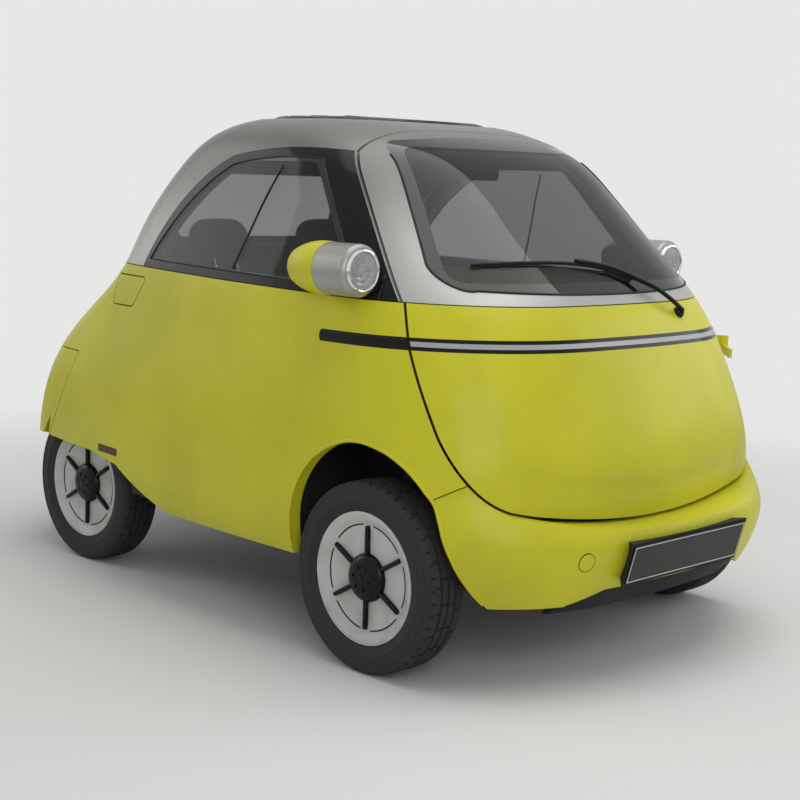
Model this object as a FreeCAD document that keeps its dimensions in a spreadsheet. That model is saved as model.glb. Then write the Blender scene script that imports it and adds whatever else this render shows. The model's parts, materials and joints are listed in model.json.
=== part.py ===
import FreeCAD, Part
import math
import os
import re
import Sketcher
from FreeCAD import Placement, Rotation, Vector

# Microcar with one front door, in millimetres.
# The nose points to -Y, the roof to +Z and the driver's left to +X.
# The origin is on the ground, on the middle plane, half way along the body.

# Driving sizes: name, value, what it is
SIZES = [
    ("wall", 42, "thickness of the body shell, doors and pillars"),
    ("glass", 6, "thickness of every pane and of the charging flap"),
    ("panel_gap", 7, "open seam between a moving panel and the body"),
    ("groove", 3, "visible width of a seam between two fixed panels"),
    ("lip", 18, "thickness of the door along its edges"),
    ("lip_width", 45, "width of the thin edge of the door"),
    ("door_draft", 40, "angle of the door's edge faces off straight ahead"),
    ("seat_fit", 0.3, "clearance where a fixed piece sits on another"),
    ("running_fit", 0.05, "radial clearance between a pin and its bore"),
    ("front_axle", -714, "front wheel centre along the car"),
    ("rear_axle", 804, "rear wheel centre along the car"),
    ("front_track", 655, "front wheel centre off the middle plane"),
    ("rear_track", 520, "rear wheel centre off the middle plane"),
    ("wheel_centre", 262, "height of the wheel centres"),
    ("tyre_outer", 262, "radius of the tread"),
    ("tyre_inner", 176, "radius of the tyre bead"),
    ("tyre_width", 135, "width of the tyre"),
    ("rim_outer", 181, "radius of the rim flange"),
    ("rim_width", 116, "width over the rim flanges"),
    ("rim_wall", 8, "thickness of the rim barrel and disc"),
    ("hub_outer", 54, "radius of the hub boss"),
    ("cap_outer", 50, "radius of the round hub cap"),
    ("cap_depth", 20, "depth of the hub cap"),
    ("fin_reach", 143, "radius reached by the fins of the hub cap"),
    ("fin_width", 13, "width of one fin"),
    ("fin_count", 6, "number of fins"),
    ("stub_outer", 18, "radius of the stub axles"),
    ("kingpin_offset", 15, "steering axis inboard of the wheel centre"),
    ("kingpin_pin", 9, "radius of the kingpin"),
    ("upright_outer", 24, "radius of the steering upright"),
    ("upright_half", 72, "half height of the steering upright"),
    ("arm_depth", 22, "depth of the suspension arms"),
    ("arm_width", 44, "width of the suspension arms"),
    ("strut_outer", 22, "radius of the front struts"),
    ("strut_place", 540, "front strut off the middle plane"),
    ("beam_half", 220, "half width of the front cross beam"),
    ("trail_place", 405, "rear trailing arm off the middle plane"),
    ("beam_outer", 30, "radius of the rear axle tube"),
    ("housing_side", 593, "outer side of the rear wheel housing"),
    ("housing_radius", 278, "radius of the rear wheel housing"),
    ("floor_low", 290, "underside of the cabin floor"),
    ("floor_plate", 25, "thickness of the floor"),
    ("jack_place", 400, "jacking pad off the middle plane"),
    ("jack_reach", 330, "jacking pad along the car"),
    ("jack_width", 60, "width of a jacking pad"),
    ("jack_length", 90, "length of a jacking pad"),
    ("jack_depth", 18, "height of a jacking pad"),
    ("boot_low", 560, "underside of the boot floor"),
    ("riser_place", 430, "front face of the step up to the boot floor"),
    ("rear_bar_low", 850, "lower edge of the rear light bar"),
    ("rear_bar_half", 420, "half width of the rear light bar"),
    ("roof_hole_half", 310, "half width of the hole for the folding roof"),
    ("roof_hole_front", -215, "front edge of the hole for the folding roof"),
    ("roof_hole_length", 440, "length of the hole for the folding roof"),
    ("door_bar_half", 490, "half width of the bar behind the door"),
    ("door_bar_low", 836, "underside of the bar behind the door"),
    ("door_bar_height", 62, "height of the bar behind the door"),
    ("tub_inner", 440, "inner side of the front wheel tub"),
    ("tub_wall", 8, "thickness of the wheel tubs"),
    ("tub_reach", 288, "half length of the wheel tub"),
    ("tub_top", 650, "top of the wheel tub"),
    ("arch_radius", 270, "radius of the front wheel arch"),
    ("arch_centre", 362, "height of the arch centre"),
    ("sill_height", 278, "height of the sill edge"),
    ("skirt_height", 405, "height of the body edge over the rear wheel"),
    ("tail_seam", 717, "height of the seam over the rear bumper"),
    ("belt_front", 998, "height of the belt seam at the front pillar"),
    ("belt_rear", 1024, "height of the belt seam at the tail"),
    ("bar_low", 880, "lower edge of the front light bar"),
    ("bar_high", 912, "upper edge of the front light bar"),
    ("bar_depth", 14, "depth of the light bar in the door"),
    ("strip_rear", -500, "rear end of the side light strips"),
    ("marker_front", 470, "front end of the side markers"),
    ("marker_length", 128, "length of a side marker"),
    ("marker_low", 413, "lower edge of the side markers"),
    ("marker_height", 24, "height of a side marker"),
    ("door_hinge_x", 735, "door hinge axis off the middle plane"),
    ("door_hinge_y", -850, "door hinge axis along the car"),
    ("hinge_pin", 7, "radius of the door hinge pins"),
    ("hinge_low", 640, "foot of the lower door hinge"),
    ("hinge_high", 800, "foot of the upper door hinge"),
    ("hinge_height", 28, "height of one hinge leaf"),
    ("door_leaf_angle", 222, "direction of the door leaf seen from above"),
    ("body_leaf_angle", 118, "direction of the body leaf seen from above"),
    ("door_leaf_length", 150, "length of the door leaf of a hinge"),
    ("door_leaf_depth", 9, "thickness of the door leaf of a hinge"),
    ("body_leaf_length", 125, "length of the body leaf of a hinge"),
    ("body_leaf_depth", 14, "thickness of the body leaf of a hinge"),
    ("leaf_clearance", 6, "clearance between the door leaf and the side panel"),
    ("hinge_barrel", 14, "radius of the door hinge barrels"),
    ("hatch_hinge_y", 470, "tailgate hinge axis along the car"),
    ("hatch_hinge_z", 1428, "tailgate hinge axis height"),
    ("hatch_leaf_angle", 54.5, "angle of the tailgate leaf below level"),
    ("roof_leaf_angle", 124, "angle of the roof leaf below level"),
    ("hatch_pin", 4, "radius of the tailgate hinge pins"),
    ("hatch_barrel", 9, "radius of the tailgate hinge barrels"),
    ("hatch_hinge_x", 130, "tailgate hinge off the middle plane"),
    ("hatch_half", 470, "half width of the tailgate at its foot"),
    ("flap_front", 424, "front top corner of the charging flap"),
    ("flap_rear", 612, "rear edge of the charging flap"),
    ("flap_low", 893, "lower edge of the charging flap"),
    ("flap_high", 986, "upper edge of the charging flap"),
    ("flap_gap", 4, "open seam round the charging flap"),
    ("flap_pin", 2, "radius of the pins of the charging flap"),
    ("flap_pin_y", 607, "pin axis of the charging flap along the car"),
    ("flap_pin_low", -588, "pin axis across the car at the lower edge"),
    ("flap_pin_high", -570, "pin axis across the car at the upper edge"),
    ("inlet_y", 520, "centre of the charging inlet along the car"),
    ("inlet_z", 940, "height of the charging inlet"),
    ("inlet_bore", 32, "radius of the charging inlet"),
    ("inlet_depth", 26, "depth of the charging inlet"),
    ("inlet_floor", -545, "bottom of the charging recess"),
    ("pod_x", 690, "centre of the lamp and mirror pod off the middle plane"),
    ("pod_front", -660, "front of the pod along the car"),
    ("pod_z", 1078, "height of the pod centre"),
    ("pod_radius", 71, "largest radius of the pod"),
    ("pod_length", 256, "length of the pod"),
    ("pod_split", 126, "distance from the pod's front to its yellow shell"),
    ("pod_clearance", 12, "clearance between a pod and the moving screen frame"),
    ("lamp_radius", 56, "radius of the lamp glass"),
    ("seat_front", -130, "front edge of the seat cushion"),
    ("seat_rear", 340, "rear edge of the seat cushion"),
    ("seat_half", 525, "half width of the seat"),
    ("seat_low", 478, "underside of the seat cushion"),
    ("seat_depth", 120, "thickness of the seat cushion"),
    ("back_top", 1010, "top of the seat back"),
    ("back_depth", 90, "thickness of the seat back"),
    ("back_gap", 9, "gap between the cushion and the foot of the seat back"),
    ("back_lean", 14, "lean of the seat back"),
    ("headrest_place", 235, "headrest centre off the middle plane"),
    ("headrest_width", 250, "width of a headrest"),
    ("headrest_depth", 64, "thickness of a headrest"),
    ("headrest_gap", 22, "gap between the seat back and a headrest"),
    ("headrest_post", 6, "radius of a headrest post"),
    ("headrest_height", 150, "height of a headrest"),
    ("wheel_x", 235, "steering wheel off the middle plane"),
    ("wheel_y", -452, "steering wheel centre along the car"),
    ("wheel_z", 812, "steering wheel centre height"),
    ("wheel_radius", 170, "radius of the steering wheel rim"),
    ("wheel_grip", 14, "radius of the steering wheel grip"),
    ("column_lean", 32, "angle of the steering column off level"),
    ("column_outer", 19, "radius of the steering column"),
    ("hub_length", 34, "length of the steering wheel hub"),
    ("spoke_outer", 9, "radius of a steering wheel spoke"),
    ("accelerator_x", 105, "accelerator pedal off the middle plane"),
    ("brake_x", 180, "brake pedal off the middle plane"),
    ("column_length", 520, "length of the steering column"),
    ("motor_width", 300, "width of the motor block"),
    ("motor_length", 240, "length of the motor block"),
    ("motor_height", 330, "height of the motor block"),
    ("battery_width", 660, "width of the battery block"),
    ("battery_length", 400, "length of the battery block"),
    ("battery_height", 130, "height of the battery block"),
    ("plate_width", 520, "width of the front number plate"),
    ("plate_height", 111, "height of a number plate"),
    ("plate_depth", 4, "thickness of a number plate"),
    ("plate_lean", 15, "lean of the front number plate"),
    ("front_plate_y", -1252, "foot of the front number plate along the car"),
    ("front_plate_z", 335, "height of the front number plate"),
    ("rear_plate_y", 1266, "back of the rear number plate along the car"),
    ("rear_plate_z", 480, "height of the rear number plate"),
    ("holder_edge", 8, "rim of the plate holder round the plate"),
]

# Body sections, low to high: height, nose, tail, half width, middle of the side,
# then radius of side, nose, nose corner, tail and tail corner, and inner drop.
BODY_SECTIONS = [
    (262, -1130, 1215, 700, -483, 8100, 2630, 305, 2570, 228, 60),
    (320, -1146, 1246, 729, -480, 7900, 2625, 320, 2520, 228, 0),
    (420, -1146, 1250, 737, -476, 7600, 2620, 338, 2450, 229, 0),
    (560, -1154, 1218, 737, -468, 7100, 2610, 376, 2310, 230, 0),
    (700, -1130, 1135, 725, -460, 6600, 2600, 414, 2170, 232, 0),
    (850, -1087, 968, 697, -451, 6040, 2580, 456, 2030, 233, 0),
    (1000, -1003, 773, 672, -442, 5490, 2570, 480, 1880, 234, 0),
    (1150, -845, 694, 634, -373, 4580, 2310, 438, 1650, 247, 4),
    (1300, -678, 585, 589, -305, 3670, 2050, 380, 1410, 260, 8),
    (1400, -552, 482, 549, -259, 3070, 1870, 341, 1260, 269, 14),
    (1450, -445, 409, 505, -236, 2770, 1780, 322, 1180, 274, 20),
    (1478, -350, 330, 447, -140, 2500, 1650, 270, 1120, 250, 26),
    (1492, -255, 245, 372, -60, 2200, 1500, 190, 1050, 180, 32),
]
# Bumper sections with the same columns.
BUMPER_SECTIONS = [
    (226, -1195, 300, 700, -483, 8100, 2400, 435, 2570, 228, 60),
    (262, -1215, 300, 716, -483, 8100, 2400, 450, 2570, 228, 0),
    (320, -1237, 300, 728, -483, 8000, 2400, 455, 2570, 228, 0),
    (400, -1247, 300, 736, -480, 7900, 2400, 462, 2520, 228, 0),
    (440, -1230, 300, 738, -476, 7600, 2400, 455, 2450, 229, 0),
    (500, -1182, 300, 739, -472, 7350, 2450, 425, 2400, 229, 0),
    (575, -1154, 300, 737, -468, 7100, 2550, 384, 2310, 230, 0),
]

doc = FreeCAD.newDocument("Microcar")
sheet = doc.addObject("Spreadsheet::Sheet", "Sizes")
for line, (name, value, note) in enumerate(SIZES, 1):
    sheet.set(f"A{line}", name)
    sheet.set(f"B{line}", str(value))
    sheet.set(f"C{line}", note)
    sheet.setAlias(f"B{line}", name)
doc.recompute()

NAMES = [name for name, _, _ in SIZES]
NODES = {}


class SheetValues:
    """Reads a named size from the sheet as a number."""

    def __getattr__(self, name):
        return float(sheet.get(name))


V = SheetValues()
reader = doc.addObject("App::FeaturePython", "Reader")
reader.addProperty("App::PropertyFloat", "Result")


def bind(thing, prop, formula):
    """Ties a property to a formula of named sizes."""
    text = re.sub(r"[a-z_]+", lambda m: "Sizes." + m[0] if m[0] in NAMES else m[0], str(formula))
    thing.setExpression(prop, text)


def number(formula):
    """The value of a formula of named sizes."""
    bind(reader, "Result", formula)
    doc.recompute([reader])
    return reader.Result


def place(thing, x, y, z):
    for axis, formula in (("x", x), ("y", y), ("z", z)):
        bind(thing, "Placement.Base." + axis, formula)


def box(name, length, width, height, x, y, z):
    """A box by its lowest corner, every size a formula of named sizes."""
    thing = doc.addObject("Part::Box", name)
    for prop, formula in (("Length", length), ("Width", width), ("Height", height)):
        bind(thing, prop, formula)
    place(thing, x, y, z)
    return thing


def cut(name, base, tool):
    thing = doc.addObject("Part::Cut", name)
    thing.Base = base
    thing.Tool = tool
    return thing


def form(name, shape):
    """A piece whose shape is worked out in code from the sheet."""
    thing = doc.addObject("Part::Feature", name)
    thing.Shape = shape
    return thing


def node(name, thing):
    thing.Label = name
    NODES[name] = thing
    return thing


# Profiles in one plane

SIDE = (Vector(0, 1, 0), Vector(0, 0, 1), Vector(1, 0, 0))
FRONT = (Vector(1, 0, 0), Vector(0, 0, 1), Vector(0, 1, 0))
PLAN = (Vector(1, 0, 0), Vector(0, 1, 0), Vector(0, 0, 1))


def profile(plane, start, *steps):
    """A closed face: a step of one point is a line, of two points an arc through the first."""
    across, up, _ = plane

    def at(point):
        return across * point[0] + up * point[1]

    edges = []
    here = start
    for step in steps + (start,):
        if isinstance(step[0], tuple):
            edges.append(Part.Arc(at(here), at(step[0]), at(step[1])).toShape())
            here = step[1]
        elif math.dist(here, step) > 1e-6:
            edges.append(Part.LineSegment(at(here), at(step)).toShape())
            here = step
    return Part.Face(Part.Wire(edges))


def extruded(face, plane, low, high):
    """Moves a face along its plane's normal to low and extrudes it to high."""
    moved = face.copy()
    moved.translate(plane[2] * low)
    return moved.extrude(plane[2] * (high - low))


def grown(face, distance):
    return face.makeOffset2D(distance)


# Body form


def circle_corner(centre_a, radius_a, centre_b, radius_b, score):
    """The crossing of two circles that scores highest: the centre of a corner arc."""
    dx = centre_b[0] - centre_a[0]
    dy = centre_b[1] - centre_a[1]
    apart = math.hypot(dx, dy)
    along = (radius_a ** 2 - radius_b ** 2 + apart ** 2) / (2 * apart)
    off = math.sqrt(radius_a ** 2 - along ** 2)
    foot = (centre_a[0] + along * dx / apart, centre_a[1] + along * dy / apart)
    left = (foot[0] - off * dy / apart, foot[1] + off * dx / apart)
    right = (foot[0] + off * dy / apart, foot[1] - off * dx / apart)
    return max(left, right, key=score)


def on_circle(centre, towards, radius):
    apart = math.dist(centre, towards)
    return tuple(c + (t - c) * radius / apart for c, t in zip(centre, towards))


def section(row, inset):
    """One level outline of eight tangent arcs, moved inwards by inset."""
    height, nose, tail, half, middle, side_r, nose_r, corner_r, tail_r, tail_corner_r, drop = row
    if inset > 0:
        height -= drop * inset / V.wall
    nose += inset
    tail -= inset
    half -= inset
    side_r, nose_r, corner_r, tail_r, tail_corner_r = (
        r - inset for r in (side_r, nose_r, corner_r, tail_r, tail_corner_r)
    )
    nose_c = (0, nose + nose_r)
    side_c = (half - side_r, middle)
    tail_c = (0, tail - tail_r)
    front = circle_corner(nose_c, nose_r - corner_r, side_c, side_r - corner_r, lambda p: p[0] - p[1])
    rear = circle_corner(
        tail_c, tail_r - tail_corner_r, side_c, side_r - tail_corner_r, lambda p: p[0] + p[1]
    )
    joints = [
        on_circle(nose_c, front, nose_r),
        on_circle(side_c, front, side_r),
        on_circle(side_c, rear, side_r),
        on_circle(tail_c, rear, tail_r),
    ]
    corners = ((front, corner_r), (side_c, side_r), (rear, tail_corner_r))

    def at(point, side):
        return Vector(side * point[0], point[1], height)

    edges = [Part.Arc(at(joints[0], -1), Vector(0, nose, height), at(joints[0], 1)).toShape()]
    for a, b, (centre, radius) in zip(joints, joints[1:], corners):
        middle_point = on_circle(centre, tuple((p + q) / 2 for p, q in zip(a, b)), radius)
        edges.append(Part.Arc(at(a, 1), at(middle_point, 1), at(b, 1)).toShape())
    edges.append(Part.Arc(at(joints[3], 1), Vector(0, tail, height), at(joints[3], -1)).toShape())
    for b, a, (centre, radius) in reversed(list(zip(joints, joints[1:], corners))):
        middle_point = on_circle(centre, tuple((p + q) / 2 for p, q in zip(a, b)), radius)
        edges.append(Part.Arc(at(a, -1), at(middle_point, -1), at(b, -1)).toShape())
    return Part.Wire(edges)


def body_loft(rows, inset):
    return Part.makeLoft([section(row, inset) for row in rows], True, False)


WIDE = 900
LONG = 1500
body_outer = body_loft(BODY_SECTIONS, 0)
body_inner = body_loft(BODY_SECTIONS, V.wall)
body_back = body_loft(BODY_SECTIONS, V.glass)
shell = body_outer.cut(body_inner)
skin = body_outer.cut(body_back)
bumper_outer = body_loft(BUMPER_SECTIONS, 0)
bumper_inner = body_loft(BUMPER_SECTIONS, V.wall)
bumper_shell = bumper_outer.cut(bumper_inner)

# Seams and openings, seen from the side (along the car, up) or from the front (across, up)

belt_slope = (V.belt_rear - V.belt_front) / 1440


def belt(y):
    return V.belt_front + (y + 740) * belt_slope


below_belt = profile(SIDE, (-LONG, 150), (LONG, 150), (LONG, belt(LONG)), (-LONG, belt(-LONG)))
above_belt = profile(
    SIDE,
    (-LONG, belt(-LONG) + V.seat_fit),
    (LONG, belt(LONG) + V.seat_fit),
    (LONG, 1600),
    (-LONG, 1600),
)
belt_groove = profile(
    SIDE,
    (-LONG, belt(-LONG)),
    (LONG, belt(LONG)),
    (LONG, belt(LONG) + V.groove),
    (-LONG, belt(-LONG) + V.groove),
)


def nose_point(x, z):
    """A point of the outer body ahead of a place in the front view, seen from the oblique plane."""
    hits = Part.makeLine(Vector(x, -LONG, z), Vector(x, 0, z)).common(body_outer)
    y = min(v.Y for v in hits.Vertexes)
    return (x * OBLIQUE[0].x + y * OBLIQUE[0].y, z)


draft = math.radians(V.door_draft)
OBLIQUE = (
    Vector(math.cos(draft), math.sin(draft), 0),
    Vector(0, 0, 1),
    Vector(math.sin(draft), -math.cos(draft), 0),
)
# The left half of the door seam in the front view, from the foot to the belt
SEAM_POINTS = [
    (0, 425),
    (140, 429),
    (280, 441),
    (420, 459),
    (540, 482),
    (584, 505),
    (620, 542),
    (642, 583),
    (654, 622),
    (660, 660),
    (661, 700),
    (656, 790),
    (644, 880),
    (629, 945),
    (612, 1000),
]
seam_line = [nose_point(x, z) for x, z in SEAM_POINTS]
door_arcs = tuple(zip(seam_line[1::2], seam_line[2::2]))
door_face = profile(
    OBLIQUE,
    seam_line[0],
    *door_arcs,
    (seam_line[-1][0], 1100),
    (-2 * LONG, 1100),
    (-2 * LONG, seam_line[0][1]),
)


def door_form(grow):
    """The space of the door: two oblique prisms, one the mirror of the other."""
    face = door_face if grow == 0 else grown(door_face, grow)
    left = extruded(face, OBLIQUE, 0, LONG)
    return left.common(left.mirror(Vector(0, 0, 0), Vector(1, 0, 0)))


pillar_line = ((-752, 980), (-735, 1004), (-412, 1396), (-376, 1560))
screen_side = profile(SIDE, *pillar_line, (-LONG, 1560), (-LONG, 980))
hatch_face = profile(
    FRONT,
    (-V.hatch_half + 70, V.tail_seam + V.panel_gap),
    (V.hatch_half - 70, V.tail_seam + V.panel_gap),
    ((V.hatch_half - 20, V.tail_seam + V.panel_gap + 20), (V.hatch_half, V.tail_seam + V.panel_gap + 70)),
    (V.hatch_half - 6, belt(700)),
    (392, 1330),
    ((375, 1375), (330, 1396)),
    (-330, 1396),
    ((-375, 1375), (-392, 1330)),
    (-V.hatch_half + 6, belt(700)),
    (-V.hatch_half, V.tail_seam + V.panel_gap + 70),
    ((-V.hatch_half + 20, V.tail_seam + V.panel_gap + 20), (-V.hatch_half + 70, V.tail_seam + V.panel_gap)),
)
rear_glass_face = profile(
    FRONT,
    (-380, 1075),
    (380, 1075),
    ((402, 1084), (408, 1106)),
    (362, 1310),
    ((350, 1335), (322, 1345)),
    (-322, 1345),
    ((-350, 1335), (-362, 1310)),
    (-408, 1106),
    ((-402, 1084), (-380, 1075)),
)
side_window_face = profile(
    SIDE,
    (-728, belt(-728) + V.seat_fit),
    (452, belt(452) + V.seat_fit),
    ((312, 1218), (60, 1376)),
    ((-170, 1401), (-400, 1396)),
)
side_glass_face = profile(
    SIDE,
    (-600, belt(-600) + 28),
    (412, belt(412) + 28),
    ((285, 1196), (50, 1350)),
    ((-150, 1373), (-336, 1372)),
)
screen_face = profile(
    FRONT,
    (-470, 1034),
    ((0, 1022), (470, 1034)),
    ((524, 1052), (534, 1100)),
    (430, 1372),
    ((408, 1412), (360, 1430)),
    ((0, 1446), (-360, 1430)),
    ((-408, 1412), (-430, 1372)),
    (-534, 1100),
    ((-524, 1052), (-470, 1034)),
)
arch_foot = math.radians(159.8)
arch_face = profile(
    SIDE,
    (V.front_axle + 10 + V.arch_radius, 150),
    (V.front_axle + 10 + V.arch_radius, V.arch_centre),
    (
        (V.front_axle + 10, V.arch_centre + V.arch_radius),
        (
            V.front_axle + 10 + V.arch_radius * math.cos(arch_foot),
            V.arch_centre + V.arch_radius * math.sin(arch_foot),
        ),
    ),
    (-1040, 229),
    (-1050, 150),
)
nose_seam = ((-LONG, 556), (-1010, 556), (-930, 508), (-700, 508))
side_face = profile(
    SIDE,
    *nose_seam,
    (-700, V.sill_height),
    (190, V.sill_height),
    ((330, 325), (480, 386)),
    (650, V.skirt_height),
    (990, V.skirt_height),
    (800, V.tail_seam),
    (LONG, V.tail_seam),
    (LONG, belt(LONG)),
    (-LONG, belt(-LONG)),
)
tail_face = profile(
    SIDE,
    (990 + V.seat_fit, V.skirt_height),
    (LONG, V.skirt_height - 20),
    (LONG, V.tail_seam - V.seat_fit),
    (800 + V.seat_fit, V.tail_seam - V.seat_fit),
)
flap_face = profile(
    SIDE,
    (V.flap_front + 14, V.flap_high),
    (V.flap_rear - 5, V.flap_high),
    ((V.flap_rear - 1.5, V.flap_high - 1.5), (V.flap_rear, V.flap_high - 5)),
    (V.flap_rear, V.flap_low + 5),
    ((V.flap_rear - 1.5, V.flap_low + 1.5), (V.flap_rear - 5, V.flap_low)),
    (V.flap_front + 68, V.flap_low),
    ((V.flap_front + 55, V.flap_low + 4), (V.flap_front + 46, V.flap_low + 14)),
    (V.flap_front + 3, V.flap_high - 15),
    ((V.flap_front + 4, V.flap_high - 4), (V.flap_front + 14, V.flap_high)),
)
door_gap = door_form(V.panel_gap)
door_block = door_form(0)
door_core = door_form(-V.lip_width)
screen_gap = extruded(grown(screen_side, V.panel_gap), SIDE, -WIDE, WIDE)
screen_block = extruded(screen_side, SIDE, -WIDE, WIDE)
hatch_gap = extruded(grown(hatch_face, V.panel_gap), FRONT, 300, LONG)
hatch_block = extruded(hatch_face, FRONT, 300, LONG)
arch_block = extruded(arch_face, SIDE, -WIDE, WIDE)
belt_low = extruded(below_belt, SIDE, -WIDE, WIDE)
belt_high = extruded(above_belt, SIDE, -WIDE, WIDE)
bar_back = body_loft(BODY_SECTIONS, V.bar_depth)
bar_layer = body_outer.cut(bar_back)
belt_slot = bar_layer.common(extruded(belt_groove, SIDE, -WIDE, WIDE))

# Side panels, with the charging recess in the right one

housings = [
    Part.makeCylinder(
        V.housing_radius,
        V.housing_side - 400,
        Vector(side * 400, V.rear_axle, V.wheel_centre),
        Vector(side, 0, 0),
    )
    for side in (-1, 1)
]


def side_panel(side):
    low, high = (1, WIDE) if side > 0 else (-WIDE, -1)
    panel = shell.common(extruded(side_face, SIDE, low, high))
    return panel.cut(door_gap).cut(arch_block).cut(hatch_gap).cut(housings[0 if side < 0 else 1])


def flap_pins(radius, reach):
    """The two pins of the flap along its rear edge, longer by reach than the recess."""
    low = Vector(V.flap_pin_low, V.flap_pin_y, V.flap_low)
    high = Vector(V.flap_pin_high, V.flap_pin_y, V.flap_high)
    along = (high - low).normalize()
    length = V.flap_gap + reach
    return Part.makeCylinder(radius, length + 16, low - along * length, along).fuse(
        Part.makeCylinder(radius, length + 16, high - along * 16, along)
    )


left_panel = side_panel(1)
right_panel = side_panel(-1)
flap_box = extruded(grown(flap_face, 16), SIDE, -WIDE, V.inlet_floor + 15).common(body_outer)
flap_hole = extruded(grown(flap_face, V.flap_gap), SIDE, -WIDE, V.inlet_floor)
right_panel = right_panel.fuse(flap_box).cut(flap_hole).cut(flap_pins(V.flap_pin + V.running_fit, 7))
strip_face = profile(
    SIDE,
    (-860, V.bar_low),
    (V.strip_rear, V.bar_low),
    ((V.strip_rear + 8, 0.5 * (V.bar_low + V.bar_high)), (V.strip_rear, V.bar_high)),
    (-860, V.bar_high),
)
marker_face = profile(
    SIDE,
    (V.marker_front, V.marker_low),
    (V.marker_front + V.marker_length, V.marker_low),
    (V.marker_front + V.marker_length, V.marker_low + V.marker_height),
    (V.marker_front, V.marker_low + V.marker_height),
)


def side_lamps(face, fit):
    """The same lamp let into both sides of the body."""
    block = face if fit == 0 else grown(face, fit)
    pair = [extruded(block, SIDE, 560, WIDE), extruded(block, SIDE, -WIDE, -560)]
    return bar_layer.common(pair[0].fuse(pair[1])).cut(door_gap)


left_panel = left_panel.cut(side_lamps(strip_face, V.seat_fit)).cut(side_lamps(marker_face, V.seat_fit))
right_panel = right_panel.cut(side_lamps(strip_face, V.seat_fit)).cut(side_lamps(marker_face, V.seat_fit))
node("side_light_strips", form("SideStrips", side_lamps(strip_face, 0)))
node("side_markers", form("SideMarkers", side_lamps(marker_face, 0)))
node("side_panel_left", form("LeftPanel", left_panel))
node("side_panel_right", form("RightPanel", right_panel))
flap = skin.common(extruded(flap_face, SIDE, -WIDE, -200))
node("charge_flap", form("Flap", flap.fuse(flap_pins(V.flap_pin, 6))))
inlet_centre = Vector(V.inlet_floor - V.seat_fit, V.inlet_y, V.inlet_z)
inlet = Part.makeCylinder(V.inlet_bore + 6, V.inlet_depth + 8, inlet_centre, Vector(-1, 0, 0))
inlet_bore = Part.makeCylinder(
    V.inlet_bore, V.inlet_depth + 1, inlet_centre - Vector(8, 0, 0), Vector(-1, 0, 0)
)
node("charge_inlet", form("Inlet", inlet.cut(inlet_bore)))

# Roof, window surrounds and side glass

window_cut = extruded(grown(side_window_face, V.seat_fit), SIDE, -WIDE, WIDE)
roof = shell.common(belt_high).cut(screen_gap).cut(window_cut).cut(hatch_gap).cut(belt_slot)
roof_hole = Part.makeBox(
    2 * V.roof_hole_half, V.roof_hole_length, 120, Vector(-V.roof_hole_half, V.roof_hole_front, 1400)
)
roof = roof.cut(roof_hole)
node("roof_shell", form("Roof", roof))
surround = shell.common(extruded(side_window_face, SIDE, -WIDE, WIDE)).cut(screen_gap)
surround = surround.cut(extruded(side_glass_face, SIDE, -WIDE, WIDE)).cut(belt_slot)
node("window_frames", form("WindowFrames", surround))
glass_block = extruded(grown(side_glass_face, -V.seat_fit), SIDE, -WIDE, WIDE)
node("side_glass", form("SideGlass", skin.common(glass_block)))

# Door: lower panel, screen frame and screen

lip_back = body_loft(BODY_SECTIONS, V.lip)
door_low = shell.common(belt_low).common(door_block).cut(lip_back.common(door_block.cut(door_core)))
bar_face = profile(
    FRONT,
    (-WIDE, V.bar_low),
    (WIDE, V.bar_low),
    (WIDE, V.bar_high),
    (-WIDE, V.bar_high),
)
bar_ring = bar_layer.common(door_block)
door_low = door_low.cut(bar_ring.common(extruded(grown(bar_face, V.seat_fit), FRONT, -LONG, -300)))
node("door_panel", form("DoorPanel", door_low))
node("front_light_bar", form("LightBar", bar_ring.common(extruded(bar_face, FRONT, -LONG, -300))))
screen_frame = shell.common(belt_high).common(screen_block).cut(belt_slot)
screen_frame = screen_frame.cut(extruded(screen_face, FRONT, -LONG, -150))
node("windscreen_frame", form("ScreenFrame", screen_frame))
node(
    "windscreen",
    form("Screen", skin.common(extruded(grown(screen_face, -V.seat_fit), FRONT, -LONG, -150))),
)

# Tailgate

rear_bar_face = profile(
    FRONT,
    (-V.rear_bar_half, V.rear_bar_low),
    (V.rear_bar_half, V.rear_bar_low),
    (V.rear_bar_half, V.rear_bar_low + V.bar_high - V.bar_low),
    (-V.rear_bar_half, V.rear_bar_low + V.bar_high - V.bar_low),
)
hatch_layer = bar_layer.common(hatch_block)
hatch_low = shell.common(belt_low).common(hatch_block)
hatch_low = hatch_low.cut(hatch_layer.common(extruded(grown(rear_bar_face, V.seat_fit), FRONT, 300, LONG)))
node("tailgate_panel", form("HatchPanel", hatch_low))
node("rear_light_bar", form("RearBar", hatch_layer.common(extruded(rear_bar_face, FRONT, 300, LONG))))
hatch_frame = shell.common(belt_high).common(hatch_block).cut(belt_slot)
hatch_frame = hatch_frame.cut(extruded(rear_glass_face, FRONT, 300, LONG))
node("tailgate_frame", form("HatchFrame", hatch_frame))
node(
    "rear_glass",
    form("RearGlass", skin.common(extruded(grown(rear_glass_face, -V.seat_fit), FRONT, 300, LONG))),
)
tail = shell.common(extruded(tail_face, SIDE, -WIDE, WIDE))
tail_rim = extruded(tail_face, SIDE, -WIDE, WIDE)
tail_rim = tail_rim.cut(extruded(grown(tail_face, -V.groove), SIDE, -WIDE, WIDE))
tail = tail.cut(bar_layer.common(tail_rim)).cut(housings[0]).cut(housings[1])
node("rear_bumper", form("RearBumper", tail))

# Front bumper and the dark intake under it



def bumper_side(drop):
    """The side view of the bumper, its upper edge lower by drop than the seam over it."""
    return profile(
        SIDE,
        (-LONG, 556 - drop),
        (-1010, 556 - drop),
        (-930, 508 - drop),
        (-860, 508 - drop),
        (-860, 150),
        (-LONG, 150),
    )


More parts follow.
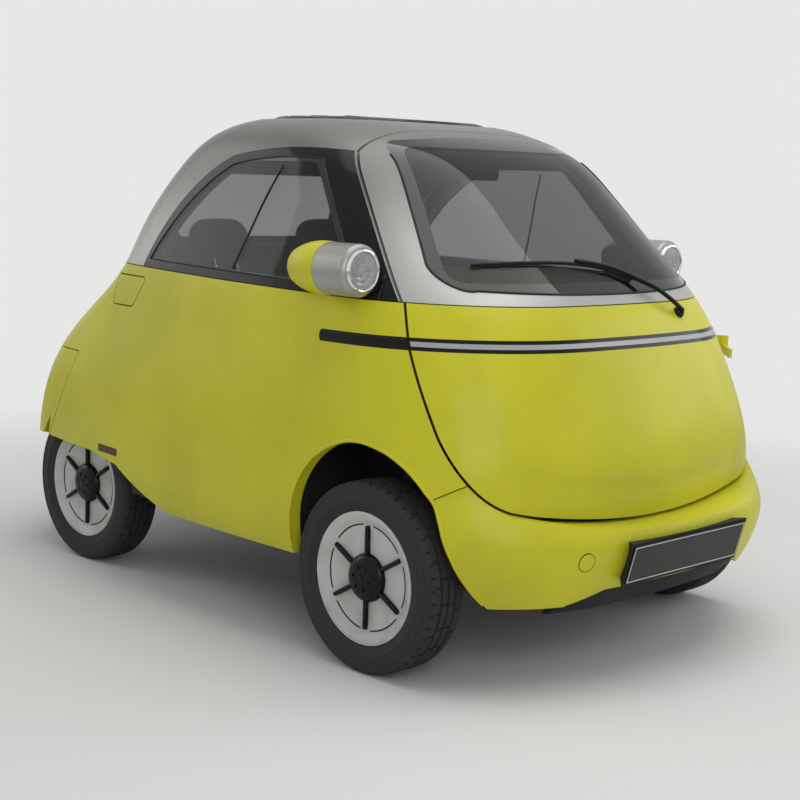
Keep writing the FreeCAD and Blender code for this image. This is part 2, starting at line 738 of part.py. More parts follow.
intake_face = profile(
    FRONT,
    (-440, 100),
    (-400, 230),
    (-290, 264),
    (290, 264),
    (400, 230),
    (440, 100),
)
bumper = bumper_shell.common(extruded(bumper_side(V.seat_fit), SIDE, -WIDE, WIDE))
bumper_layer = bumper_outer.cut(body_loft(BUMPER_SECTIONS, V.bar_depth))
bumper = bumper.cut(bumper_layer.cut(extruded(bumper_side(V.groove), SIDE, -WIDE, WIDE)))
bumper = bumper.cut(door_gap).cut(arch_block).cut(extruded(intake_face, FRONT, -LONG, 0))
node("front_bumper", form("Bumper", bumper))
intake_rows = [
    (196, -1150, 300, 640, -483, 8100, 2400, 400, 2570, 228, 60),
    (226, -1182, 300, 670, -483, 8100, 2400, 420, 2570, 228, 0),
    (263, -1203, 300, 690, -483, 8100, 2400, 440, 2570, 228, 0),
]
intake_shell = body_loft(intake_rows, 0).cut(body_loft(intake_rows, 0.7 * V.wall))
intake = intake_shell.common(extruded(grown(intake_face, -V.seat_fit), FRONT, -LONG, -1000))
node("front_intake", form("Intake", intake))


# Folding roof: a low domed panel with a foot that fills the hole in the roof

SUNROOF_SECTIONS = [
    (1492.3, -240, 234, 354, -60, 2200, 1500, 175, 1050, 168, 0),
    (1498, -228, 222, 342, -60, 2200, 1500, 165, 1050, 158, 0),
    (1501, -190, 185, 300, -60, 2200, 1500, 140, 1050, 135, 0),
]
sunroof_foot = Part.makeBox(
    2 * (V.roof_hole_half - V.seat_fit),
    V.roof_hole_length - 2 * V.seat_fit,
    30,
    Vector(V.seat_fit - V.roof_hole_half, V.roof_hole_front + V.seat_fit, 1463),
)
node("sunroof", form("Sunroof", body_loft(SUNROOF_SECTIONS, 0).fuse(sunroof_foot)))

# Floor with the boot floor, its riser and the front wheel tubs

floor_face = profile(
    SIDE,
    (-1078, 384),
    (-1052, V.floor_low),
    (V.riser_place + V.floor_plate, V.floor_low),
    (V.riser_place + V.floor_plate, V.boot_low),
    (1170, V.boot_low),
    (1190, 690),
    (1190 - V.floor_plate, 690),
    (1152, V.boot_low + V.floor_plate),
    (V.riser_place, V.boot_low + V.floor_plate),
    (V.riser_place, V.floor_low + V.floor_plate),
    (-1034, V.floor_low + V.floor_plate),
    (-1056, 384),
)
room = body_loft(BODY_SECTIONS, V.wall + V.seat_fit)


def tub(side, grow):
    """The space of one front wheel tub, larger by grow on every closed side."""
    length = 2 * (V.tub_reach + grow)
    width = WIDE - V.tub_inner + grow
    low = V.floor_low - 40 * (1 - grow / V.tub_wall)
    corner = V.tub_inner - grow if side > 0 else -WIDE
    height = V.tub_top - V.tub_wall + grow - low
    return Part.makeBox(width, length, height, Vector(corner, V.front_axle - V.tub_reach - grow, low))


floor = extruded(floor_face, SIDE, -WIDE, WIDE)
for side in (-1, 1):
    floor = floor.fuse(tub(side, V.tub_wall))
for side in (-1, 1):
    floor = floor.cut(tub(side, 0))
floor = floor.common(room)
bumper_space = bumper_outer.cut(body_loft(BUMPER_SECTIONS, V.wall + V.seat_fit))
floor = floor.cut(bumper_space.common(extruded(bumper_side(0), SIDE, -WIDE, WIDE)))
for side in (-1, 1):
    for end in (-1, 1):
        corner = Vector(
            side * V.jack_place - V.jack_width / 2,
            end * V.jack_reach - V.jack_length / 2,
            V.floor_low - V.jack_depth,
        )
        floor = floor.fuse(Part.makeBox(V.jack_width, V.jack_length, V.jack_depth + 1, corner))
node("floor_pan", form("Floor", floor))

# Lamp and mirror pods: a silver housing with the lamp and a yellow shell with the mirror


def pod_form(points):
    """A round piece turned about the pod's axis: each point is distance from its front, radius."""
    face = profile(SIDE, *points)
    face.translate(Vector(0, V.pod_front, V.pod_z))
    return face.revolve(Vector(0, V.pod_front, V.pod_z), Vector(0, 1, 0), 360)


pod_seat = body_loft(BODY_SECTIONS, -V.seat_fit)
pod_clear = body_loft(BODY_SECTIONS, -V.pod_clearance).common(
    extruded(grown(screen_side, V.pod_clearance), SIDE, -WIDE, WIDE)
)


def both_sides(shape, seated):
    """The shape moved to the left and to the right, seated on the body where asked."""
    pair = []
    for side in (1, -1):
        piece = shape.copy()
        piece.translate(Vector(side * V.pod_x, 0, 0))
        pair.append(piece.cut(pod_seat).cut(pod_clear) if seated else piece)
    return Part.makeCompound(pair)


tail_end = V.pod_length
housing = pod_form(
    (
        (4, 0),
        (4, V.lamp_radius + 6),
        ((9, V.pod_radius - 3), (22, V.pod_radius)),
        (V.pod_split, V.pod_radius),
        (V.pod_split, 0),
    )
)
lamp_seat = V.lamp_radius + V.seat_fit
housing = housing.cut(pod_form(((-5, 0), (-5, lamp_seat), (16, lamp_seat), (16, 0))))
pod_shell = pod_form(
    (
        (V.pod_split + V.seat_fit, 0),
        (V.pod_split + V.seat_fit, V.pod_radius + 1),
        ((V.pod_split + 80, V.pod_radius - 5), (tail_end - 14, V.pod_radius - 18)),
        ((tail_end - 4, V.pod_radius - 25), (tail_end, V.pod_radius - 34)),
        (tail_end, 0),
    )
)
glass_radius = V.pod_radius - 37
pod_shell = pod_shell.cut(
    pod_form(
        ((tail_end - 5, 0), (tail_end - 5, glass_radius), (tail_end + 5, glass_radius), (tail_end + 5, 0))
    )
)
mirror_start = tail_end - 5 + V.seat_fit
mirror_edge = glass_radius - V.seat_fit
mirror = pod_form(
    ((mirror_start, 0), (mirror_start, mirror_edge), (tail_end - 2, mirror_edge), (tail_end - 2, 0))
)
lamp = pod_form(
    (
        (0, 0),
        ((1.5, 0.6 * V.lamp_radius), (5, V.lamp_radius)),
        (16 - V.seat_fit, V.lamp_radius),
        (16 - V.seat_fit, 0),
    )
)
node("lamp_pods", form("LampHousings", both_sides(housing, True)))
node("pod_shells", form("PodShells", both_sides(pod_shell, True)))
node("lamp_glasses", form("LampGlasses", both_sides(lamp, True)))
node("mirror_glasses", form("MirrorGlasses", both_sides(mirror, True)))

# Seats

base_low = "floor_low + floor_plate + seat_fit"
base_outer = box(
    "SeatBaseOuter",
    "2 * seat_half - 60",
    "seat_rear - seat_front - 40",
    "seat_low - floor_low - floor_plate - 2 * seat_fit",
    "30 - seat_half",
    "seat_front + 20",
    base_low,
)
base_inner = box(
    "SeatBaseInner",
    "2 * seat_half - 80",
    "seat_rear - seat_front - 60",
    "seat_low - floor_low - floor_plate - 11",
    "40 - seat_half",
    "seat_front + 30",
    "floor_low + floor_plate - 1",
)
node("seat_base", cut("SeatBase", base_outer, base_inner))
node(
    "battery_block",
    box(
        "Battery",
        "battery_width",
        "battery_length",
        "battery_height",
        "-battery_width / 2",
        "seat_front + 35",
        base_low,
    ),
)
node(
    "seat_cushion",
    box(
        "Cushion",
        "2 * seat_half",
        "seat_rear - seat_front",
        "seat_depth",
        "-seat_half",
        "seat_front",
        "seat_low",
    ),
)
back_lift = V.back_depth * math.sin(math.radians(V.back_lean))
back_foot = V.boot_low + V.floor_plate + back_lift + 2 * V.seat_fit
back_height = "(back_top - boot_low - floor_plate) / cos(back_lean) - back_depth * tan(back_lean)"
seat_back = doc.addObject("Part::Box", "SeatBack")
for prop, formula in (("Length", "2 * seat_half"), ("Width", "back_depth"), ("Height", back_height)):
    bind(seat_back, prop, formula)
seat_back.Placement.Rotation = Rotation(Vector(1, 0, 0), -V.back_lean)
place(seat_back, "-seat_half", "seat_rear + back_gap", str(back_foot))
node("seat_back", seat_back)
doc.recompute()
pad_low = number(back_height) + V.headrest_gap
headrests = []
for side in (-1, 1):
    half_pad = V.headrest_width / 2
    face = profile(
        FRONT,
        (-half_pad, 0),
        (half_pad, 0),
        (half_pad, 0.35 * V.headrest_height),
        ((0, V.headrest_height), (-half_pad, 0.35 * V.headrest_height)),
    )
    centre = V.seat_half + side * V.headrest_place
    pad = extruded(face, FRONT, -0.5 * V.headrest_depth, 0.5 * V.headrest_depth)
    pad.translate(Vector(centre, V.back_depth / 2, pad_low))
    for post in (-45, 45):
        foot = Vector(centre + post, V.back_depth / 2, pad_low - V.headrest_gap + V.seat_fit)
        pad = pad.fuse(Part.makeCylinder(V.headrest_post, V.headrest_gap + 4, foot))
    pad.Placement = seat_back.Placement.multiply(pad.Placement)
    headrests.append(pad)
node("headrests", form("Headrests", Part.makeCompound(headrests)))

# Steering wheel, column and pedals

slope = math.radians(V.column_lean)
down = Vector(0, -math.cos(slope), -math.sin(slope))
hub_centre = Vector(V.wheel_x, V.wheel_y, V.wheel_z)
column_top = hub_centre + down * V.hub_length
column = Part.makeCylinder(V.column_outer, V.column_length, column_top, down)
column = column.fuse(Part.makeCylinder(V.hinge_pin, 20, column_top - down * 18, down))
foot = column_top + down * (V.column_length - 40)
foot_low = V.floor_low + V.floor_plate + V.seat_fit
column = column.fuse(
    Part.makeBox(40, 60, foot.z - foot_low, Vector(V.wheel_x - 20, foot.y - 30, foot_low))
)
node("steering_column", form("Column", column))
steering = Part.makeTorus(V.wheel_radius, V.wheel_grip, hub_centre, down)
for direction in (Vector(1, 0, 0), Vector(-1, 0, 0), Vector(0, math.sin(slope), -math.cos(slope))):
    steering = steering.fuse(
        Part.makeCylinder(V.spoke_outer, V.wheel_radius - 4, hub_centre + down * 12, direction)
    )
steering = steering.fuse(
    Part.makeCylinder(2 * V.column_outer, V.hub_length - V.seat_fit, hub_centre, down)
)
steering = steering.cut(Part.makeCylinder(V.hinge_pin + V.running_fit, 22, column_top + down, down * -1))
node("steering_wheel", form("SteeringWheel", steering))
pedals = []
for pedal_x in (V.accelerator_x, V.brake_x):
    plate = Part.makeBox(50, 8, 74, Vector(pedal_x - 25, foot.y + 40, foot_low + 50))
    stem = Part.makeBox(12, 30, 60, Vector(pedal_x - 6, foot.y + 18, foot_low))
    pedals.append(plate.fuse(stem))
node("pedals", form("Pedals", Part.makeCompound(pedals)))

# Door hinges and the bar behind the door


def leaf(length, thickness, height, axis, angle):
    """A hinge leaf that starts on the axis and points along an angle seen from above."""
    plate = Part.makeBox(length, thickness, height, Vector(0, -thickness / 2, 0))
    plate.rotate(Vector(0, 0, 0), Vector(0, 0, 1), angle)
    plate.translate(axis)
    return plate


hinge_bore = V.hinge_pin + V.running_fit
swing_clear = body_loft(BODY_SECTIONS, -V.leaf_clearance).cut(door_block)
body_hinges = []
door_hinges = []
for height in (V.hinge_low, V.hinge_high):
    axis = Vector(V.door_hinge_x, V.door_hinge_y, height)
    upper = axis + Vector(0, 0, V.hinge_height + V.seat_fit)
    door_part = Part.makeCylinder(V.hinge_barrel, V.hinge_height, axis)
    door_part = door_part.fuse(
        leaf(V.door_leaf_length, V.door_leaf_depth, V.hinge_height, axis, V.door_leaf_angle)
    )
    door_part = door_part.cut(Part.makeCylinder(hinge_bore, V.hinge_height + 2, axis - Vector(0, 0, 1)))
    door_hinges.append(door_part.cut(pod_seat).cut(swing_clear))
    body_part = Part.makeCylinder(V.hinge_barrel, V.hinge_height, upper)
    body_part = body_part.fuse(
        leaf(V.body_leaf_length, V.body_leaf_depth, V.hinge_height, upper, V.body_leaf_angle)
    ).cut(pod_seat)
    pin = Part.makeCylinder(V.hinge_pin, 2 * V.hinge_height - 4, axis + Vector(0, 0, 4))
    body_hinges.append(body_part.fuse(pin))
node("door_hinges", form("DoorHinges", Part.makeCompound(door_hinges)))
door_bar = Part.makeBox(
    2 * V.door_bar_half, 160, V.door_bar_height, Vector(-V.door_bar_half, -1085, V.door_bar_low)
).common(room)
node("door_bar", form("DoorBar", door_bar))

# Tailgate hinges at the rear edge of the roof


def hatch_leaf(width, length, thickness, x, angle):
    """A leaf that starts on the tailgate axis and points along an angle below level."""
    plate = Part.makeBox(width, length, thickness, Vector(x - width / 2, 0, -thickness / 2))
    plate.rotate(Vector(0, 0, 0), Vector(1, 0, 0), -angle)
    plate.translate(Vector(0, V.hatch_hinge_y, V.hatch_hinge_z))
    return plate


def hatch_rod(radius, width, x):
    start = Vector(x - width / 2, V.hatch_hinge_y, V.hatch_hinge_z)
    return Part.makeCylinder(radius, width, start, Vector(1, 0, 0))


hatch_hinges = []
for side in (-1, 1):
    x = side * V.hatch_hinge_x
    moving = hatch_rod(V.hatch_barrel, 40, x).fuse(hatch_leaf(40, 104, 8, x, V.hatch_leaf_angle))
    moving = moving.cut(hatch_rod(V.hatch_pin + V.running_fit, 50, x))
    hatch_hinges.append(moving.cut(pod_seat))
    fixed = hatch_rod(V.hatch_pin, 74, x)
    for end in (x - 29, x + 29):
        fixed = fixed.fuse(hatch_rod(V.hatch_barrel, 16, end))
        fixed = fixed.fuse(hatch_leaf(16, 40, 12, end, V.roof_leaf_angle))
    body_hinges.append(fixed.cut(pod_seat))
node("body_hinges", form("BodyHinges", Part.makeCompound(body_hinges)))
node("hatch_hinges", form("HatchHinges", Part.makeCompound(hatch_hinges)))

# Wheels, turned about their own axis and then moved to their places


def turned(label, points):
    """A body of revolution: every point is a distance along the axle and a radius."""
    body = doc.addObject("PartDesign::Body", label)
    sketch = body.newObject("Sketcher::SketchObject", label + "Profile")
    plane = next(f for f in body.Origin.OriginFeatures if f.Role == "XZ_Plane")
    sketch.AttachmentSupport = (plane, "")
    sketch.MapMode = "FlatFace"
    values = [(number(a), number(b)) for a, b in points]
    count = len(points)
    for k in range(count):
        (x0, y0), (x1, y1) = values[k], values[(k + 1) % count]
        sketch.addGeometry(Part.LineSegment(Vector(x0, y0, 0), Vector(x1, y1, 0)), False)
    for k in range(count):
        sketch.addConstraint(Sketcher.Constraint("Coincident", k, 2, (k + 1) % count, 1))
    for k, (a, b) in enumerate(points):
        for kind, formula, letter in (("DistanceX", a, "a"), ("DistanceY", b, "r")):
            value = values[k][0 if letter == "a" else 1]
            index = sketch.addConstraint(Sketcher.Constraint(kind, -1, 1, k, 1, value))
            sketch.renameConstraint(index, f"{letter}{k}")
            bind(sketch, f"Constraints.{letter}{k}", formula)
    revolution = body.newObject("PartDesign::Revolution", label + "Turn")
    revolution.Profile = sketch
    revolution.ReferenceAxis = (sketch, ["H_Axis"])
    revolution.Angle = 360
    doc.recompute()
    return body


tyre_form = turned(
    "TyreForm",
    [
        ("-0.36 * tyre_width", "tyre_inner"),
        ("-0.50 * tyre_width", "tyre_inner + 30"),
        ("-0.50 * tyre_width", "tyre_outer - 28"),
        ("-0.46 * tyre_width", "tyre_outer - 10"),
        ("-0.36 * tyre_width", "tyre_outer - 1"),
        ("-0.25 * tyre_width", "tyre_outer"),
        ("0.25 * tyre_width", "tyre_outer"),
        ("0.36 * tyre_width", "tyre_outer - 1"),
        ("0.46 * tyre_width", "tyre_outer - 10"),
        ("0.50 * tyre_width", "tyre_outer - 28"),
        ("0.50 * tyre_width", "tyre_inner + 30"),
        ("0.36 * tyre_width", "tyre_inner"),
        ("0.30 * tyre_width", "tyre_inner + 10"),
        ("0.42 * tyre_width", "tyre_inner + 34"),
        ("0.42 * tyre_width", "tyre_outer - 30"),
        ("0.33 * tyre_width", "tyre_outer - 12"),
        ("-0.33 * tyre_width", "tyre_outer - 12"),
        ("-0.42 * tyre_width", "tyre_outer - 30"),
        ("-0.42 * tyre_width", "tyre_inner + 34"),
        ("-0.30 * tyre_width", "tyre_inner + 10"),
    ],
)
rim_form = turned(
    "RimForm",
    [
        ("-rim_width / 2", "rim_outer"),
        ("5 - rim_width / 2", "rim_outer"),
        ("7 - rim_width / 2", "tyre_inner - seat_fit"),
        ("26 - rim_width / 2", "tyre_inner - seat_fit"),
        ("32 - rim_width / 2", "tyre_inner - 18"),
        ("rim_width / 2 - 34", "tyre_inner - 18"),
        ("rim_width / 2 - 28", "tyre_inner - seat_fit"),
        ("rim_width / 2 - 7", "tyre_inner - seat_fit"),
        ("rim_width / 2 - 5", "rim_outer"),
        ("rim_width / 2", "rim_outer"),
        ("rim_width / 2", "rim_outer - 9"),
        ("rim_width / 2 - 6", "tyre_inner - 16"),
        ("rim_width / 2 - 16", "tyre_inner - 28"),
        ("rim_width / 2 - 21", "tyre_inner - 58"),
        ("rim_width / 2 - 22", "hub_outer + 2"),
        ("rim_width / 2 - 16", "hub_outer - 2"),
        ("rim_width / 2 - 16", "stub_outer + running_fit"),
        ("12", "stub_outer + running_fit"),
        ("12", "stub_outer + 22"),
        ("24", "hub_outer - 6"),
        ("rim_width / 2 - 22 - rim_wall", "tyre_inner - 58"),
        ("rim_width / 2 - 26", "tyre_inner - 36"),
        ("20", "tyre_inner - 27"),
        ("-30", "tyre_inner - 27"),
        ("8 - rim_width / 2", "rim_outer - 15"),
        ("-rim_width / 2", "rim_outer - 11"),
    ],
)
cap_form = turned(
    "CapForm",
    [
        ("rim_width / 2 - 16 + seat_fit", "0"),
        ("rim_width / 2 - 16 + seat_fit", "cap_outer"),
        ("rim_width / 2 - 16 + cap_depth - 5", "cap_outer"),
        ("rim_width / 2 - 16 + cap_depth", "cap_outer - 6"),
        ("rim_width / 2 - 16 + cap_depth", "0"),
    ],
)
cap_shape = cap_form.Shape.copy()
fin_low = V.rim_width / 2 - 16 + V.seat_fit
for turn in range(int(V.fin_count)):
    fin = Part.makeBox(8, V.fin_width, V.fin_reach - 40, Vector(fin_low, -V.fin_width / 2, 40))
    fin.rotate(Vector(0, 0, 0), Vector(1, 0, 0), turn * 360 / V.fin_count)
    cap_shape = cap_shape.fuse(fin)
PLACES = [
    ("front_left", 1, V.front_track, V.front_axle),
    ("front_right", -1, V.front_track, V.front_axle),
    ("rear_left", 1, V.rear_track, V.rear_axle),
    ("rear_right", -1, V.rear_track, V.rear_axle),
]
for corner, side, track, axle in PLACES:
    facing = Rotation(Vector(0, 0, 1), 0 if side > 0 else 180)
    where = Placement(Vector(side * track, axle, V.wheel_centre), facing)
    for kind, shape in (("tyre", tyre_form.Shape), ("rim", rim_form.Shape), ("hub_cap", cap_shape)):
        piece = form(f"{kind}_{corner}_form", shape)
        piece.Placement = where
        node(f"{kind}_{corner}", piece)

# Front suspension and steering uprights

kingpin_x = V.front_track - V.kingpin_offset
low_joint = V.wheel_centre - V.upright_half - V.seat_fit
high_joint = V.wheel_centre + V.upright_half + V.seat_fit
stub_end = V.rim_width / 2 - 20


def arm(side, inner, height):
    """A level arm from inner to the kingpin, with the eye that the kingpin turns in."""
    corner = Vector(inner if side > 0 else -kingpin_x, V.front_axle - V.arm_width / 2, height)
    centre = Vector(side * kingpin_x, V.front_axle, height)
    solid = Part.makeBox(kingpin_x - inner, V.arm_width, V.arm_depth, corner)
    solid = solid.fuse(Part.makeCylinder(V.upright_outer, V.arm_depth, centre))
    bore = V.kingpin_pin + V.running_fit
    return solid.cut(Part.makeCylinder(bore, V.arm_depth + 2, centre - Vector(0, 0, 1)))


for name, side in (("left", 1), ("right", -1)):
    centre = Vector(side * kingpin_x, V.front_axle, V.wheel_centre)
    low_end = centre - Vector(0, 0, V.upright_half)
    upright = Part.makeCylinder(V.upright_outer, 2 * V.upright_half, low_end)
    pin = Part.makeCylinder(V.kingpin_pin, 2 * V.upright_half + 28, low_end - Vector(0, 0, 14))
    stub = Part.makeCylinder(V.stub_outer, V.kingpin_offset + stub_end, centre, Vector(side, 0, 0))
    node("knuckle_" + name, form("Knuckle" + name.title(), upright.fuse(pin).fuse(stub)))
beam_low = low_joint - V.arm_depth
front_beam = Part.makeBox(
    2 * V.beam_half,
    160,
    V.floor_low - V.seat_fit - beam_low,
    Vector(-V.beam_half, V.front_axle - 80, beam_low),
)
front_beam = front_beam.fuse(arm(1, V.beam_half - 20, beam_low)).fuse(arm(-1, V.beam_half - 20, beam_low))
front_pieces = [front_beam]
strut_length = V.tub_top - V.tub_wall - V.seat_fit - high_joint
for side in (-1, 1):
    strut_foot = Vector(side * V.strut_place, V.front_axle, high_joint)
    strut = Part.makeCylinder(V.strut_outer, strut_length, strut_foot)
    front_pieces.append(arm(side, V.strut_place, high_joint).fuse(strut))
node("front_axle", form("FrontAxle", Part.makeCompound(front_pieces)))

# Motor and rear axle

node(
    "motor_block",
    box(
        "Motor",
        "motor_width",
        "motor_length",
        "motor_height",
        "-motor_width / 2",
        "rear_axle - motor_length / 2",
        "boot_low - seat_fit - motor_height",
    ),
)
rear_pieces = []
tube_start = V.motor_width / 2 + V.seat_fit
trail_start = V.riser_place + V.floor_plate + V.seat_fit
for side in (-1, 1):
    across = Vector(side, 0, 0)
    centre = Vector(0, V.rear_axle, V.wheel_centre)
    tube = Part.makeCylinder(
        V.beam_outer, V.rear_track + 8 - tube_start, centre + across * tube_start, across
    )
    stub = Part.makeCylinder(V.stub_outer, V.rear_track + stub_end - 200, centre + across * 200, across)
    trail = Part.makeBox(
        40, V.rear_axle - trail_start, 60, Vector(side * V.trail_place - 20, trail_start, centre.z + 5)
    )
    rear_pieces.append(tube.fuse(stub).fuse(trail))
node("rear_axle", form("RearAxle", Part.makeCompound(rear_pieces)))

# Number plates, blank, and the holders behind them


def plate_form(width, height, depth, back):
    """A plate in the front view, centred, that starts at back and grows to the rear by depth."""
    return Part.makeBox(width, depth, height, Vector(-width / 2, back, -height / 2))


def at_front(shape):
    shape.rotate(Vector(0, 0, 0), Vector(1, 0, 0), V.plate_lean)
    shape.translate(Vector(0, V.front_plate_y, V.front_plate_z))
    return shape


def at_rear(shape):
    shape.translate(Vector(0, V.rear_plate_y, V.rear_plate_z))
    return shape


holder_width = V.plate_width + 2 * V.holder_edge
holder_height = V.plate_height + 2 * V.holder_edge
front_plate = at_front(plate_form(V.plate_width, V.plate_height, V.plate_depth, -V.plate_depth))
rear_plate = at_rear(plate_form(V.plate_width, V.plate_height, V.plate_depth, 0))
node("number_plates", form("Plates", Part.makeCompound([front_plate, rear_plate])))
front_holder = at_front(plate_form(holder_width, holder_height, 90, V.seat_fit))
front_holder = front_holder.cut(body_loft(BUMPER_SECTIONS, -V.seat_fit))
rear_holder = at_rear(plate_form(holder_width, holder_height, 90, -90 - V.seat_fit)).cut(pod_seat)
node("plate_holders", form("Holders", Part.makeCompound([front_holder, rear_holder])))


doc.recompute()
broken = [t.Name for t in doc.Objects if "Invalid" in t.State or "Error" in t.State]
broken += [n for n, t in NODES.items() if t.Shape.isNull() or not t.Shape.isValid()]
if broken:
    raise SystemExit("failed: " + ", ".join(broken))
os.makedirs("parts", exist_ok=True)
for name, thing in NODES.items():
    thing.Shape.exportStep(f"parts/{name}.step")
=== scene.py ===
"""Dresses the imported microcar: materials, trim, soft parts, light and camera."""

from __future__ import annotations

import json
import logging
import math
from contextlib import contextmanager
from dataclasses import dataclass
from enum import Enum
from typing import Any, Callable, Iterator, Sequence

import bmesh
import bpy
from mathutils import Matrix, Vector


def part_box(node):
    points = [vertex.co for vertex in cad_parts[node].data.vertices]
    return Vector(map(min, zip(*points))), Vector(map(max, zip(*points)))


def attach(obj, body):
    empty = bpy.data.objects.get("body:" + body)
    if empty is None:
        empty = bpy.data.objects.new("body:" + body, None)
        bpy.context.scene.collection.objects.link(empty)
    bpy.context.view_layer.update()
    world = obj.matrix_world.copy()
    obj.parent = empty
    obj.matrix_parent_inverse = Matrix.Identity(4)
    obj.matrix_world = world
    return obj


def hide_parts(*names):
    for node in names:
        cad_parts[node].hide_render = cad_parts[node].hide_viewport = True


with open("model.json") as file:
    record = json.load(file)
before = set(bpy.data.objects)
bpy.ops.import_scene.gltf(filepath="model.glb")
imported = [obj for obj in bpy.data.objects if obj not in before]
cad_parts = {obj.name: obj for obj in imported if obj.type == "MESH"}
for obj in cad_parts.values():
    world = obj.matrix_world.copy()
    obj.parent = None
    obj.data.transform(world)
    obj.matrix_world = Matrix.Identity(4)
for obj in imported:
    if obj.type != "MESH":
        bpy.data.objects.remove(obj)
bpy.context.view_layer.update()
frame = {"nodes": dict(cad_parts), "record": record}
log = logging.getLogger("microcar")

Point = tuple[float, float, float]
Colour = tuple[float, float, float]
Pair = tuple[float, float]
Line = tuple[Pair, ...]
Piece = bpy.types.Object
Test = Callable[[bmesh.types.BMFace], bool]

SIDES = ((-1, "right"), (1, "left"))
ORIGIN = (0, 0, 0)
DOWNWARD = Vector((0, 0, -1))
FORWARD = Vector((0, -1, 0))
REARWARD = Vector((0, 1, 0))


def mm(*values: float) -> Vector:
    """A point or size given in millimetres, in metres."""
    return Vector(values) * 0.001


def tone(colour: Colour, share: float, plus: float = 0.0) -> Colour:
    """A darker or paler tone of a colour."""
    return tuple(min(1.0, part * share + plus) for part in colour)


def shot(node: str, start: Vector, way: Vector) -> tuple[Vector, Vector] | None:
    """Where a ray first meets a CAD node and the normal there, or None if it misses."""
    found, point, normal, _ = frame["nodes"][node].ray_cast(start, way)
    return (point, normal) if found else None


def struck(node: str, start: Vector, way: Vector) -> tuple[Vector, Vector]:
    """Where a ray that has to meet a CAD node does so, and the normal there."""
    found = shot(node, start, way)
    if not found:
        raise ValueError(f"the ray from {start} misses {node}")
    return found


def outer_faces(side: int, least: float) -> Test:
    """A test for the faces on one side of the car that look outwards by at least a share."""
    return lambda f: f.normal.x * side > least and f.calc_center_median().x * side > 0


# Shader graphs


class Link:
    """One output of a shader node, with arithmetic.

    Args:
        graph: the graph that holds the node.
        socket: the output socket.
    """

    def __init__(self, graph: Graph, socket: bpy.types.NodeSocket) -> None:
        """Wraps the socket."""
        self.graph = graph
        self.socket = socket

    def __add__(self, other: Value) -> Link:
        """Sum."""
        return self.graph.maths("ADD", self, other)

    __radd__ = __add__

    def __sub__(self, other: Value) -> Link:
        """Difference."""
        return self.graph.maths("SUBTRACT", self, other)

    def __rsub__(self, other: Value) -> Link:
        """Difference from a number."""
        return self.graph.maths("SUBTRACT", other, self)

    def __mul__(self, other: Value) -> Link:
        """Product."""
        return self.graph.maths("MULTIPLY", self, other)

    __rmul__ = __mul__

    def __abs__(self) -> Link:
        """Absolute value."""
        return self.graph.maths("ABSOLUTE", self, 0.0)


Value = Link | float


